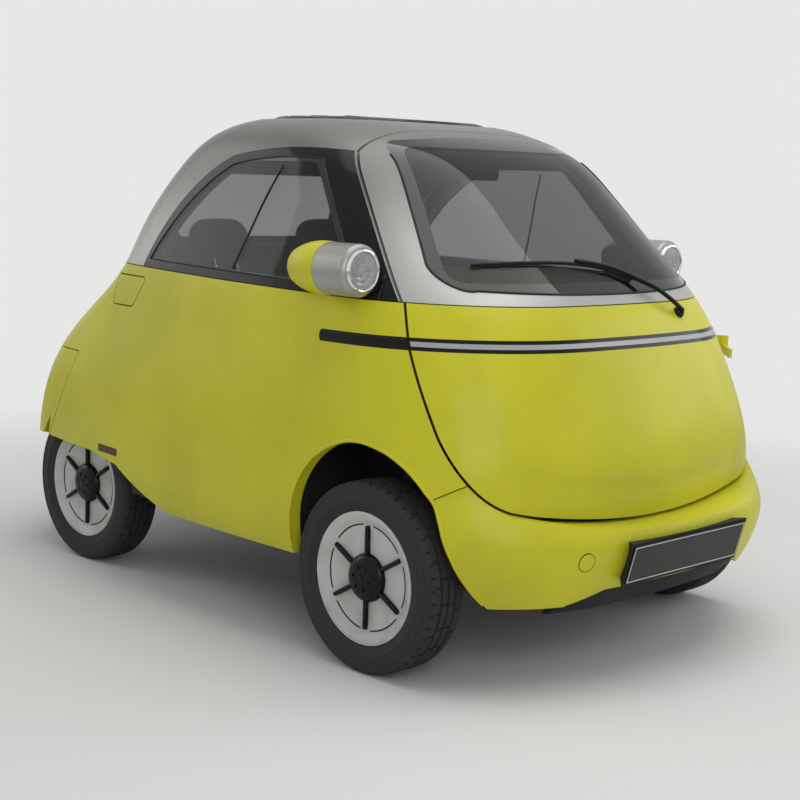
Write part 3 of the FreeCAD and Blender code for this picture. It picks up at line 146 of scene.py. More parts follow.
class Graph:
    """The nodes of one material, or of the world."""

    def __init__(self, tree: bpy.types.NodeTree) -> None:
        """Empties the tree.

        Args:
            tree: the node tree to fill.
        """
        self.tree = tree
        tree.nodes.clear()

    def node(
        self, kind: str, settings: dict[str, Any], sockets: dict[str | int, Any], out: str | int = 0
    ) -> Link:
        """Makes one node: its settings first, then the values and links of its sockets.

        Args:
            kind: node type.
            settings: properties of the node.
            sockets: value or link by socket name, identifier or number.
            out: the output to return.

        Returns:
            The chosen output.
        """
        made = self.tree.nodes.new(kind)
        for key, value in settings.items():
            setattr(made, key, value)
        for key, value in sockets.items():
            socket = self._find(made.inputs, key)
            if isinstance(value, Link):
                self.tree.links.new(value.socket, socket)
            else:
                socket.default_value = value
        return Link(self, self._find(made.outputs, out) if len(made.outputs) else None)

    @staticmethod
    def _find(sockets: Any, key: str | int) -> bpy.types.NodeSocket:
        """The socket of that identifier, name or number."""
        if isinstance(key, int):
            return sockets[key]
        return next((s for s in sockets if s.identifier == key), None) or sockets[key]

    def also(self, link: Link, out: str | int) -> Link:
        """Another output of a link's node."""
        return Link(self, self._find(link.socket.node.outputs, out))

    def maths(self, operation: str, a: Value, b: Value) -> Link:
        """A Math node."""
        return self.node("ShaderNodeMath", {"operation": operation}, {0: a, 1: b})

    @property
    def place(self) -> Link:
        """Object coordinates."""
        return self.node("ShaderNodeTexCoord", {}, {}, "Object")

    def axes(self) -> tuple[Link, Link, Link]:
        """The three Object coordinates."""
        first = self.node("ShaderNodeSeparateXYZ", {}, {0: self.place})
        return tuple(self.also(first, k) for k in range(3))

    def stretched(self, scale: Point) -> Link:
        """Object coordinates times a scale for each axis."""
        return self.node("ShaderNodeMapping", {}, {"Vector": self.place, "Scale": scale})

    def noise(self, scale: float, detail: float = 2.0, at: Link | None = None) -> Link:
        """Soft noise from 0 to 1."""
        sockets = {"Vector": at or self.place, "Scale": scale, "Detail": detail}
        return self.node("ShaderNodeTexNoise", {}, sockets, "Fac")

    def cells(self, scale: float) -> Link:
        """Distance to the nearest of many points."""
        return self.node("ShaderNodeTexVoronoi", {}, {"Vector": self.place, "Scale": scale}, "Distance")

    def waves(self, value: Link, pitch: float) -> Link:
        """A sine of a length, from -1 to 1, one turn every pitch metres."""
        return self.maths("SINE", value * (2 * math.pi / pitch), 0.0)

    def step(self, value: Value, low: float, high: float) -> Link:
        """Rises smoothly from 0 at low to 1 at high."""
        sockets = {"Value": value, "From Min": low, "From Max": high}
        return self.node("ShaderNodeMapRange", {"interpolation_type": "SMOOTHSTEP"}, sockets, "Result")

    def nearest(self, *values: Link, blend: float) -> Link:
        """The smallest of some lengths, with rounded corners."""
        found = values[0]
        for value in values[1:]:
            found = self.node("ShaderNodeMath", {"operation": "SMOOTH_MIN"}, {0: found, 1: value, 2: blend})
        return found

    def mix(self, factor: Value, a: Colour | Link, b: Colour | Link) -> Link:
        """A colour between a and b."""
        ends = {key: c if isinstance(c, Link) else (*c, 1) for key, c in (("A_Color", a), ("B_Color", b))}
        sockets = {"Factor_Float": factor, **ends}
        return self.node("ShaderNodeMix", {"data_type": "RGBA"}, sockets, "Result_Color")

    def bump(self, height: Link, distance: float, strength: float = 1.0, under: Link | None = None) -> Link:
        """A normal from a height, on top of another normal if one is given."""
        sockets = {"Height": height, "Distance": distance, "Strength": strength}
        if under:
            sockets["Normal"] = under
        return self.node("ShaderNodeBump", {}, sockets)

    def surface(self, **sockets: Any) -> Link:
        """The shader of the surface, by its sockets, words joined by underscores."""
        named = {key.replace("_", " "): value for key, value in sockets.items()}
        if not isinstance(named["Base Color"], Link):
            named["Base Color"] = (*named["Base Color"], 1)
        return self.node("ShaderNodeBsdfPrincipled", {}, named)

    def end(self, shader: Link, kind: str = "Material") -> None:
        """Ends the graph in its output."""
        self.node(f"ShaderNodeOutput{kind}", {}, {"Surface": shader})


# Finishes

DUST = (0.16, 0.14, 0.11)
FLAKES = (0.75, 0.75, 0.73)
SPECKS = (0.35, 0.34, 0.32)
TYRE_DUST = (0.050, 0.047, 0.042)
BORDER_BLACK = (0.008, 0.008, 0.009)
SMEAR = (0.2, 0.2, 0.2)
PANE_LEVEL = 1.100


@dataclass(frozen=True)
class Finish:
    """A named surface finish, made once and shared."""

    name: str

    def shade(self, graph: Graph) -> Link:
        """Builds the shader.

        Args:
            graph: the empty graph.

        Returns:
            The shader's output.
        """
        raise NotImplementedError

    def material(self) -> bpy.types.Material:
        """The material of this finish, built on first use."""
        known = bpy.data.materials.get(self.name)
        if known:
            return known
        made = bpy.data.materials.new(self.name)
        made.use_nodes = True
        graph = Graph(made.node_tree)
        graph.end(self.shade(graph))
        return made


@dataclass(frozen=True)
class Paint(Finish):
    """Body paint: orange peel, faint clouds, and road dust towards the ground.

    Args:
        above: a second colour above the heights in split; on the silver, painted shade towards the roof.
        split: where the second colour starts and where it is full, in metres.
        folded: whether the soft fold of the door runs through it.
        fold: height of the fold's lower edge in the middle, its rise outwards and its half width.
    """

    colour: Colour
    rough: float = 0.38
    metal: float = 0.0
    coat: float = 0.10
    gloss: float = 0.22
    peel: float = 0.00012
    dust: float = 0.16
    dusty_below: Pair = (0.20, 0.52)
    above: Colour | None = None
    split: Pair = (0.959, 0.96)
    folded: bool = False
    fold: Point = (0.425, 0.205, 0.655)
    fold_edge: Pair = (0.070, 0.125)
    fold_depth: float = 0.006

    def shade(self, graph: Graph) -> Link:
        """Builds the shader."""
        clouds = graph.step(graph.noise(2.4, 3), 0.3, 0.7)
        base = graph.mix(clouds, tone(self.colour, 0.90), tone(self.colour, 1.06))
        if self.metal:
            base = graph.mix(graph.step(graph.noise(1400, 1), 0.55, 0.75) * 0.16, base, FLAKES)
        across, _, up = graph.axes()
        # Above the split heights: the hinges' second paint, and on the silver a painted shade darkening it
        # towards the roof.
        if self.above:
            base = graph.mix(graph.step(up, *self.split), base, self.above)
        dusty = (1 - graph.step(up, *self.dusty_below)) * graph.step(graph.noise(9, 5), 0.35, 0.8) * self.dust
        normal = graph.bump(graph.noise(320, 2), self.peel, 0.6)
        if self.folded:
            low, rise, half = self.fold
            inside = graph.nearest(up - across * across * rise - low, half - abs(across), blend=0.12)
            normal = graph.bump(graph.step(inside, *self.fold_edge), self.fold_depth, 1.0, normal)
        return graph.surface(
            Base_Color=graph.mix(dusty, base, DUST),
            Roughness=self.rough + (graph.noise(34, 4) - 0.5) * 0.12 + dusty * 0.5,
            Metallic=self.metal,
            Specular_IOR_Level=self.gloss,
            Coat_Weight=self.coat,
            Coat_Roughness=0.12,
            Normal=normal,
        )


@dataclass(frozen=True)
class Gloss(Finish):
    """Polished moulded plastic with hairline scratches and a few specks of dust."""

    colour: Colour
    rough: float = 0.16
    gloss: float = 0.18

    def shade(self, graph: Graph) -> Link:
        """Builds the shader."""
        lines = graph.noise(60, 6, graph.stretched((1, 14, 5)))
        specks = graph.step(graph.noise(900, 1), 0.74, 0.80)
        return graph.surface(
            Base_Color=graph.mix(specks * 0.25, self.colour, SPECKS),
            Roughness=self.rough + graph.step(lines, 0.5, 0.8) * 0.10 + specks * 0.3,
            Specular_IOR_Level=self.gloss,
            Normal=graph.bump(graph.noise(90, 2), 0.00008, 0.3),
        )


@dataclass(frozen=True)
class Grain(Finish):
    """Moulded plastic with a pebbled grain, paler where it is rubbed."""

    colour: Colour
    rough: float = 0.62
    pitch: float = 620.0

    def shade(self, graph: Graph) -> Link:
        """Builds the shader."""
        pebbles = graph.cells(self.pitch)
        worn = graph.step(graph.noise(7, 5), 0.52, 0.78)
        return graph.surface(
            Base_Color=graph.mix(worn * 0.45, self.colour, tone(self.colour, 1.9, 0.008)),
            Roughness=self.rough + (pebbles - 0.4) * 0.25,
            Specular_IOR_Level=0.25,
            Normal=graph.bump(1 - pebbles, 0.00035, 0.7),
        )


@dataclass(frozen=True)
class Rubber(Finish):
    """Rubber: mould texture, faint bands and dust in the hollows."""

    colour: Colour
    banded: bool = True

    def shade(self, graph: Graph) -> Link:
        """Builds the shader."""
        dusty = graph.step(graph.noise(11, 6), 0.42, 0.78)
        fine = graph.noise(420, 3)
        height = fine * 0.6
        if self.banded:
            height = height + graph.step(graph.noise(26, 3), 0.5, 0.6) * 0.3
        return graph.surface(
            Base_Color=graph.mix(dusty * 0.55, self.colour, TYRE_DUST),
            Roughness=0.68 + (fine - 0.5) * 0.3,
            Specular_IOR_Level=0.35,
            Normal=graph.bump(height, 0.0004, 0.55),
        )


class Threads(Enum):
    """Which two axes the threads of a cloth follow."""

    FLAT = (0, 1)
    UPRIGHT = (0, 2)
    SIDEWAYS = (1, 2)


@dataclass(frozen=True)
class Weave(Finish):
    """Plain-woven cloth in two thread colours, with slubs and a soft sheen."""

    warp: Colour
    weft: Colour
    pitch: float = 0.0022
    threads: Threads = Threads.FLAT
    fuzz: float = 0.25

    def shade(self, graph: Graph) -> Link:
        """Builds the shader."""
        axes = graph.axes()
        wobble = (graph.noise(45, 2) - 0.5) * self.pitch * 1.6
        a, b = (graph.waves(axes[k] + wobble, self.pitch) for k in self.threads.value)
        over = graph.step(a * b, -0.25, 0.25)
        slub = graph.step(graph.noise(160, 4), 0.45, 0.75)
        worn = graph.step(graph.noise(5, 4), 0.35, 0.75)
        base = graph.mix(slub * 0.30, graph.mix(over, self.warp, self.weft), tone(self.weft, 2.4))
        return graph.surface(
            Base_Color=graph.mix(worn * 0.25, base, tone(self.warp, 0.55)),
            Roughness=0.86 - over * 0.08,
            Sheen_Weight=self.fuzz,
            Sheen_Roughness=0.5,
            Normal=graph.bump(abs(a) * 0.5 + abs(b) * 0.5 + slub * 0.3, 0.0004, 0.6),
        )


@dataclass(frozen=True)
class Metal(Finish):
    """Bare or plated metal, from cast to chromed."""

    colour: Colour
    rough: float = 0.25
    cast: float = 0.0
    metal: float = 1.0

    def shade(self, graph: Graph) -> Link:
        """Builds the shader."""
        stains = graph.step(graph.noise(16, 5), 0.45, 0.8)
        drawn = graph.noise(70, 4, graph.stretched((1, 1, 22)))
        return graph.surface(
            Base_Color=graph.mix(stains * 0.35, self.colour, tone(self.colour, 0.55)),
            Roughness=self.rough + (drawn - 0.5) * 0.10 + stains * 0.12,
            Metallic=self.metal,
            Normal=graph.bump(graph.cells(260) * self.cast + drawn * 0.2, 0.0003, 0.5),
        )


class Pane(Enum):
    """The printed black border of each window.

    The front and rear windows give their low and high edges, their half width at PANE_LEVEL, how much it
    shrinks for each metre up, the share of it that counts square to the edge, and the corners' blend.
    """

    SCREEN = (1.026, 1.440, 0.534, 0.383, 0.934, 0.07)
    REAR = (1.078, 1.342, 0.408, 0.222, 0.976, 0.05)
    SIDE = "side"
    NONE = "none"

    def inside(self, graph: Graph) -> Link | None:
        """The distance in from the pane's edge, in metres, or None without a border."""
        if self is Pane.NONE:
            return None
        x, y, z = graph.axes()
        if self is Pane.SIDE:
            front = (y + 0.600) * 0.790 - (z - 1.030) * 0.613
            return graph.nearest(front, 1.376 - z, blend=0.03)
        low, high, half, shrink, square, blend = self.value
        side = (half - abs(x) - (z - PANE_LEVEL) * shrink) * square
        return graph.nearest(z - low, high - z, side, blend=blend)


@dataclass(frozen=True)
class Glass(Finish):
    """Window glass: see-through, more mirror-like at a grazing look, with its black border."""

    tint: Colour
    clear: float = 0.70
    pane: Pane = Pane.NONE
    border: float = 0.030

    def shade(self, graph: Graph) -> Link:
        """Builds the shader."""
        grazing = graph.node("ShaderNodeLayerWeight", {}, {"Blend": 0.22}, "Facing")
        smears = graph.step(graph.noise(6, 5), 0.5, 0.85)
        alpha = (1 - self.clear) + grazing * 0.40 + smears * 0.02
        inside = self.pane.inside(graph)
        if inside is None:
            base = graph.mix(smears * 0.2, self.tint, SMEAR)
        else:
            black = 1 - graph.step(inside, self.border, self.border + 0.003)
            alpha = graph.maths("MAXIMUM", alpha, black)
            base = graph.mix(black, self.tint, BORDER_BLACK)
        return graph.surface(
            Base_Color=base,
            Roughness=smears * 0.02,
            IOR=1.48,
            Alpha=graph.maths("MINIMUM", alpha, 1.0),
            Normal=graph.bump(graph.noise(3, 1), 0.0004, 0.2),
        )


@dataclass(frozen=True)
class Lens(Finish):
    """A coloured lamp lens with moulded ribs under a smooth face."""

    colour: Colour
    axis: int = 0
    ribs: float = 0.006
    rough: float = 0.12
    coat: float = 0.8
    gloss: float = 0.5

    def shade(self, graph: Graph) -> Link:
        """Builds the shader."""
        rib = graph.waves(graph.axes()[self.axis], self.ribs)
        return graph.surface(
            Base_Color=graph.mix(graph.step(rib, -0.3, 0.6), tone(self.colour, 0.55), self.colour),
            Roughness=self.rough + graph.step(graph.noise(40, 3), 0.5, 0.8) * 0.08,
            Specular_IOR_Level=self.gloss,
            Coat_Weight=self.coat,
            Coat_Roughness=0.03,
            Normal=graph.bump(rib, 0.0005, 0.4),
        )


@dataclass(frozen=True)
class Plain(Finish):
    """The floor's finish: pale and matt, running out into the pale surrounding."""

    colour: Colour
    near: float = 1.5
    far: float = 4.4

    def shade(self, graph: Graph) -> Link:
        """Builds the shader."""
        matt = graph.surface(
            Base_Color=graph.mix(graph.noise(1.2, 2) * 0.25, self.colour, tone(self.colour, 0.97)),
            Roughness=0.85,
            Specular_IOR_Level=0.2,
        )
        away = graph.node("ShaderNodeVectorMath", {"operation": "LENGTH"}, {0: graph.place}, "Value")
        seen = graph.node("ShaderNodeLightPath", {}, {}, "Is Camera Ray")
        glow = graph.node("ShaderNodeEmission", {}, {"Color": (*self.colour, 1), "Strength": 1.0})
        share = graph.step(away, self.near, self.far) * seen
        return graph.node("ShaderNodeMixShader", {}, {0: share, 1: matt, 2: glow})


BODY_YELLOW = (0.60, 0.575, 0.022)
SEAT_THREADS = ((0.030, 0.031, 0.035), (0.052, 0.053, 0.058))

YELLOW = Paint("satin_yellow", BODY_YELLOW)
DOOR = Paint("satin_yellow_door", BODY_YELLOW, folded=True)
HINGE = Paint("painted_hinges", BODY_YELLOW, above=(0.34, 0.34, 0.325))
# The silver turns to a darker grey between 1.0 m and 1.38 m up: painted shade on the roof and its rails.
SILVER = Paint(
    "satin_silver", (0.40, 0.40, 0.38), rough=0.40, metal=0.55, gloss=0.3, dust=0.0,
    above=(0.150, 0.149, 0.140), split=(1.0, 1.38),
)
WHEEL = Paint("wheel_lacquer", (0.56, 0.56, 0.54), rough=0.42, dust=0.45)
BLACK = Gloss("piano_black", (0.006, 0.006, 0.007))
PLATE = Gloss("plate_black", (0.005, 0.005, 0.006), rough=0.34, gloss=0.10)
PLATE_EDGE = Gloss("plate_white", (0.62, 0.63, 0.62), rough=0.30)
DISPLAY = Gloss("blank_display", (0.006, 0.007, 0.009), rough=0.05, gloss=0.5)
TRIM = Grain("moulded_black", (0.012, 0.012, 0.013))
LINING = Grain("moulded_grey", (0.018, 0.018, 0.019), rough=0.72, pitch=420)
GRIP = Grain("stitched_grip", (0.014, 0.014, 0.014), rough=0.55, pitch=900)
RUBBER = Rubber("tyre_rubber", (0.012, 0.012, 0.013))
SEAL = Rubber("window_seal", (0.008, 0.008, 0.008), banded=False)
CLOTH = Weave("seat_cloth", *SEAT_THREADS)
CLOTH_UP = Weave("back_cloth", *SEAT_THREADS, threads=Threads.UPRIGHT)
ROOF_CLOTH = Weave("roof_cloth", (0.010, 0.010, 0.011), (0.019, 0.019, 0.020), pitch=0.0030)
WEBBING = Weave(
    "belt_webbing", (0.016, 0.016, 0.017), (0.030, 0.030, 0.032), pitch=0.0016, threads=Threads.SIDEWAYS
)
CARPET = Weave("floor_mat", (0.012, 0.012, 0.013), (0.022, 0.022, 0.023), pitch=0.0050)
CHROME = Metal("bright_chrome", (0.78, 0.79, 0.80), rough=0.08)
MIRROR = Metal("mirror_silver", (0.82, 0.83, 0.84), rough=0.02)
ALLOY = Metal("cast_alloy", (0.46, 0.47, 0.48), rough=0.42, cast=1.0)
STEEL = Metal("black_steel", (0.022, 0.022, 0.023), rough=0.46, cast=0.4, metal=0.35)
REFLECTOR = Metal("lamp_reflector", (0.34, 0.35, 0.37), rough=0.14)
SCREEN_GLASS = Glass("windscreen_glass", (0.012, 0.014, 0.013), 0.64, Pane.SCREEN, 0.026)
SIDE_GLASS = Glass("side_window_glass", (0.010, 0.012, 0.011), 0.70, Pane.SIDE, 0.014)
REAR_GLASS = Glass("rear_window_glass", (0.012, 0.014, 0.013), 0.74, Pane.REAR, 0.022)
COVER = Glass("lamp_cover", (0.75, 0.77, 0.78), 0.86)
RED = Lens("red_lens", (0.24, 0.006, 0.005), coat=0.3, gloss=0.3)
MARKER = Lens("marker_red", (0.13, 0.026, 0.006), 1, ribs=0.009, coat=0.0, gloss=0.15)
LIGHT = Lens("daylight_line", (0.48, 0.49, 0.51), ribs=0.0035, rough=0.25, coat=0.3)
BULB = Lens("lamp_optic", (0.30, 0.32, 0.34), 2, ribs=0.004)

SLOT_FINISH = {
    "yellow_paint": YELLOW,
    "silver_paint": SILVER,
    "black_gloss": BLACK,
    "dark_plastic": TRIM,
    "roof_fabric": ROOF_CLOTH,
    "tinted_glass": SIDE_GLASS,
    "lamp_glass": COVER,
    "mirror_glass": MIRROR,
    "red_lens": RED,
    "seat_fabric": CLOTH,
    "alloy": ALLOY,
    "black_steel": STEEL,
    "plate_black": PLATE,
    "soft_grip": GRIP,
    "tyre_rubber": RUBBER,
    "wheel_paint": WHEEL,
}
NODE_FINISH = {
    "windscreen": SCREEN_GLASS,
    "rear_glass": REAR_GLASS,
    "side_markers": MARKER,
    "floor_pan": LINING,
    "door_panel": DOOR,
    "door_hinges": HINGE,
    "body_hinges": HINGE,
}


# Modelling tools


class Bench:
    """Blender's modelling operators, used on one piece at a time."""

    MERGE = 0.00002

    @staticmethod
    def take(piece: Piece) -> Piece:
        """Makes one piece the only selected and active one."""
        bpy.ops.object.select_all(action="DESELECT")
        piece.select_set(True)
        bpy.context.view_layer.objects.active = piece
        return piece

    @staticmethod
    def start(kind: str, name: str, size: Point = (1, 1, 1), at: Point = ORIGIN, **options: Any) -> Piece:
        """Adds a primitive at its size and place, in millimetres.

        Args:
            kind: the primitive's name in the operator.
            name: name of the piece.
            size: scale of the primitive, whose own size is one metre.
            at: its centre.
            options: more settings of the operator.

        Returns:
            The new piece.
        """
        bpy.ops.object.select_all(action="DESELECT")
        getattr(bpy.ops.mesh, f"primitive_{kind}_add")(size=1, **options)
        piece = bpy.context.active_object
        piece.name = piece.data.name = name
        piece.scale = mm(*size)
        piece.location = mm(*at)
        bpy.ops.object.transform_apply(location=True, rotation=True, scale=True)
        return piece

    @staticmethod
    @contextmanager
    def editing(piece: Piece, mode: str = "FACE") -> Iterator[None]:
        """Edit mode on one piece, in a selection mode, with everything selected."""
        Bench.take(piece)
        bpy.ops.object.mode_set(mode="EDIT")
        bpy.ops.mesh.select_mode(type=mode)
        Bench.mark()
        yield
        bpy.ops.object.mode_set(mode="OBJECT")

    @staticmethod
    def mark(action: str = "SELECT") -> None:
        """Selects all of the mesh in edit mode, or changes the selection as a whole."""
        bpy.ops.mesh.select_all(action=action)

    @staticmethod
    def pick(test: Callable[[Any], bool], kind: str = "faces") -> int:
        """Selects what passes a test, in edit mode.

        Args:
            test: takes a face, edge or vertex and says whether it is wanted.
            kind: faces, edges or verts.

        Returns:
            How many are selected.
        """
        Bench.mark("DESELECT")
        data = bpy.context.edit_object.data
        work = bmesh.from_edit_mesh(data)
        work.normal_update()
        wanted = [item for item in getattr(work, kind) if test(item)]
        for item in wanted:
            item.select_set(True)
        bmesh.update_edit_mesh(data)
        return len(wanted)

    @staticmethod
    def keep(test: Test) -> None:
        """Deletes all faces but those that pass a test, in edit mode."""
        if Bench.pick(lambda face: not test(face)):
            bpy.ops.mesh.delete(type="FACE")

    @staticmethod
    def grow(step: Vector) -> None:
        """Extrudes what is selected by a step in metres."""
        bpy.ops.mesh.extrude_region_move(TRANSFORM_OT_translate={"value": tuple(step)})

    @staticmethod
    def sink(depth: float) -> None:
        """Extrudes what is selected inwards by a depth in millimetres."""
        bpy.ops.mesh.extrude_region_shrink_fatten(TRANSFORM_OT_shrink_fatten={"value": -depth * 0.001})

    @staticmethod
    def tidy() -> None:
        """Merges doubles and turns all faces outwards, in edit mode."""
        Bench.mark()
        bpy.ops.mesh.remove_doubles(threshold=Bench.MERGE)
        bpy.ops.mesh.normals_make_consistent(inside=False)

    @staticmethod
    def modify(piece: Piece, kind: str, **settings: Any) -> None:
        """Adds a modifier and applies it."""
        Bench.take(piece)
        made = piece.modifiers.new(kind.title(), kind)
        for key, value in settings.items():
            setattr(made, key, value)
        bpy.ops.object.modifier_apply(modifier=made.name)

    @staticmethod
    def bevel(piece: Piece, width: float, segments: int = 3) -> Piece:
        """Rounds the edges of a piece by a width in millimetres."""
        limit = {"limit_method": "ANGLE", "angle_limit": math.radians(30)}
        Bench.modify(piece, "BEVEL", width=width * 0.001, segments=segments, **limit)
        return piece

    @staticmethod
    def block(
        name: str, size: Point, at: Point, face: Point | None = None, border: float = 0, depth: float = 0
    ) -> Piece:
        """A block, with one face sunk inside a border if a face is named. Measures are in millimetres.

        Args:
            name: name of the piece.
            size: its size.
            at: its centre.
            face: direction of the sunk face.
            border: width of the border round it.
            depth: how deep it lies.

        Returns:
            The block.
        """
        piece = Bench.start("cube", name, size, at)
        if face:
            way = Vector(face)
            with Bench.editing(piece):
                Bench.pick(lambda f: f.normal.dot(way) > 0.5)
                bpy.ops.mesh.inset(thickness=border * 0.001)
                Bench.grow(way * (-depth * 0.001))
        return piece

    @staticmethod
    def lathe(
        name: str,
        profile: Sequence[Pair],
        centre: Point = ORIGIN,
        axis: Vector = Vector((1, 0, 0)),
        steps: int = 48,
        turn: float = 360,
    ) -> Piece:
        """Draws a profile point by point and spins it.

        Args:
            name: name of the piece.
            profile: distance along the axis and radius of each point, in millimetres.
            centre: a point on the axis.
            axis: direction of the axis.
            steps: how many steps the turn takes.
            turn: the angle, in degrees.

        Returns:
            The turned piece.
        """
        along = axis.normalized()
        out = along.cross(Vector((0, 1, 0)) if abs(along.y) < 0.9 else Vector((1, 0, 0))).normalized()
        points = [mm(*centre) + (along * a + out * r) * 0.001 for a, r in profile]
        piece = Bench.start("plane", name, at=tuple(points[0] * 1000))
        with Bench.editing(piece, "VERT"):
            bpy.ops.mesh.merge(type="CENTER")
            for here, there in zip(points, points[1:]):
                Bench.grow(there - here)
            Bench.mark()
            bpy.ops.mesh.spin(
                steps=steps, angle=math.radians(turn), center=tuple(mm(*centre)), axis=tuple(along)
            )
            Bench.tidy()
        return piece

    @staticmethod
    def tube(name: str, points: Sequence[Vector], radius: float) -> Piece:
        """A smooth round bar along points.

        Args:
            name: name of the piece.
            points: its line, in metres.
            radius: radius in millimetres.

        Returns:
            The bar, as a mesh.
        """
        bpy.ops.object.select_all(action="DESELECT")
        bpy.ops.curve.primitive_nurbs_path_add()
        piece = bpy.context.active_object
        piece.name = name
        piece.data.splines.clear()
        spline = piece.data.splines.new("NURBS")
        spline.points.add(len(points) - 1)
        for point, place in zip(spline.points, points):
            point.co = (*place, 1)
        spline.order_u = 3
        spline.use_endpoint_u = True
        piece.data.use_fill_caps = True
        piece.data.resolution_u = 6
        return Bench.thicken(piece, radius, 3)

    @staticmethod
    def thicken(curve: Piece, radius: float, resolution: int) -> Piece:
        """Gives the active curve a round section, in millimetres, and makes it a mesh."""
        curve.data.bevel_depth = radius * 0.001
        curve.data.bevel_resolution = resolution
        bpy.ops.object.convert(target="MESH")
        piece = bpy.context.active_object
        with Bench.editing(piece):
            Bench.tidy()
        return piece

    @staticmethod
    def rim(node: str, name: str, test: Test, radius: float) -> Piece:
        """A round bead along the edge of part of a CAD node.

        Args:
            node: the CAD node.
            name: name of the piece.
            test: says which faces make the part.
            radius: radius of the bead in millimetres.

        Returns:
            The bead.
        """
        piece = Bench.from_node(node, name)
        with Bench.editing(piece):
            Bench.keep(test)
            bpy.ops.mesh.select_mode(type="EDGE")
            Bench.mark()
            for edge in bmesh.from_edit_mesh(piece.data).edges:
                edge.select_set(not edge.is_boundary)
            bmesh.update_edit_mesh(piece.data)
            bpy.ops.mesh.delete(type="EDGE_FACE")
            work = bmesh.from_edit_mesh(piece.data)
            for vert in [v for v in work.verts if not v.link_edges]:
                work.verts.remove(vert)
            bmesh.update_edit_mesh(piece.data)
        Bench.take(piece)
        bpy.ops.object.convert(target="CURVE")
        return Bench.thicken(bpy.context.active_object, radius, 2)

    @staticmethod
    def copy(piece: Piece, name: str, matrix: Matrix = Matrix.Identity(4)) -> Piece:
        """A copy of a piece with its own mesh, moved in its mesh."""
        made = piece.copy()
        made.data = piece.data.copy()
        made.name = made.data.name = name
        made.parent = None
        for key in list(made.keys()):
            del made[key]
        made.data.transform(matrix)
        bpy.context.scene.collection.objects.link(made)
        return made

    @staticmethod
    def from_node(node: str, name: str) -> Piece:
        """A merged copy of a CAD node's mesh."""
        made = Bench.copy(frame["nodes"][node], name)
        made.data.materials.clear()
        with Bench.editing(made):
            bpy.ops.mesh.remove_doubles(threshold=Bench.MERGE)
        return made

    @staticmethod
    def join(parts: Sequence[Piece]) -> Piece:
        """Joins pieces into the first of them."""
        Bench.take(parts[0])
        for part in parts[1:]:
            part.select_set(True)
        bpy.ops.object.join()
        return parts[0]

    @staticmethod
    def around(piece: Piece, count: int, centre: Point, axis: str) -> list[Piece]:
        """A piece and its copies at equal steps round an axis.

        Args:
            piece: the first of them.
            count: how many there are in all.
            centre: a point on the axis, in millimetres.
            axis: the axis's letter.

        Returns:
            All of them, the given piece first.
        """
        there = Matrix.Translation(mm(*centre))
        turns = [Matrix.Rotation(2 * math.pi * k / count, 4, axis) for k in range(1, count)]
        return [piece] + [Bench.copy(piece, piece.name, there @ turn @ there.inverted()) for turn in turns]

    @staticmethod
    def done(
        piece: Piece, finish: Finish, body: str, slot: str, angle: float = 40, replaces: Sequence[str] = ()
    ) -> None:
        """Shades a finished piece, gives it its finish and body, and reports it.

        Args:
            piece: the piece, in place.
            finish: its finish.
            body: the body that it rides on.
            slot: the record's material slot; not used.
            angle: edges sharper than this stay sharp, in degrees.
            replaces: CAD nodes that it stands for.
        """
        Bench.take(piece)
        bpy.ops.object.shade_smooth_by_angle(angle=math.radians(angle))
        piece.data.materials.clear()
        piece.data.materials.append(finish.material())
        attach(piece, body)
        if replaces:
            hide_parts(*replaces)
        log.info("%s: %d faces, %s, on %s", piece.name, len(piece.data.polygons), finish.name, body)

    @staticmethod
    def bar(name: str, points: Sequence[Vector], radius: float, finish: Finish, body: str, slot: str) -> None:
        """A finished round bar along points, its radius in millimetres."""
        Bench.done(Bench.tube(name, points, radius), finish, body, slot, 60)


# Camera, light and floor


@dataclass
class Eye:
    """The camera of the photograph, from the sizes solved with it."""

    place: Point = (-3549.2, -3650.5, 1327.7)
    yaw: float = -45.2
    pitch: float = 8.1
    roll: float = 1.8
    focal: float = 1569.5
    image: int = 800
    sensor: float = 36.0

    def axes(self) -> tuple[Vector, Vector, Vector]:
        """The camera's right, up and forward directions."""
        a, p, r = (math.radians(v) for v in (self.yaw, self.pitch, self.roll))
        ahead = Vector((-math.sin(a) * math.cos(p), math.cos(a) * math.cos(p), -math.sin(p)))
        flat = Vector((math.cos(a), math.sin(a), 0))
        rise = flat.cross(ahead)
        return flat * math.cos(r) + rise * math.sin(r), rise * math.cos(r) - flat * math.sin(r), ahead

    def build(self) -> None:
        """Adds the camera and makes it the scene's own."""
        right, up, ahead = self.axes()
        data = bpy.data.cameras.new("photo_camera")
        data.sensor_width = self.sensor
        data.lens = self.focal / self.image * self.sensor
        data.clip_end = 100
        camera = bpy.data.objects.new("photo_camera", data)
        turn = Matrix((right, up, -ahead)).transposed().to_4x4()
        camera.matrix_world = Matrix.Translation(mm(*self.place)) @ turn
        bpy.context.scene.collection.objects.link(camera)
        bpy.context.scene.camera = camera

    def hit(self, node: str, across: float, down: float) -> tuple[Vector, Vector]:
        """Where the line of sight through a pixel meets a CAD node.

        Args:
            node: the CAD node.
            across: pixel from the left.
            down: pixel from the top.

        Returns:
            The point and the surface's normal there.
        """
        right, up, ahead = self.axes()
        half = self.image / 2
        ray = ahead + right * ((across - half) / self.focal) + up * ((half - down) / self.focal)
        return struck(node, mm(*self.place), ray.normalized())

    def laid(self, node: str, pixels: Line, lift: float) -> list[Vector]:
        """Points on a CAD node under some pixels, lifted off it in millimetres."""
        return [point + normal * lift * 0.001 for point, normal in (self.hit(node, *p) for p in pixels)]


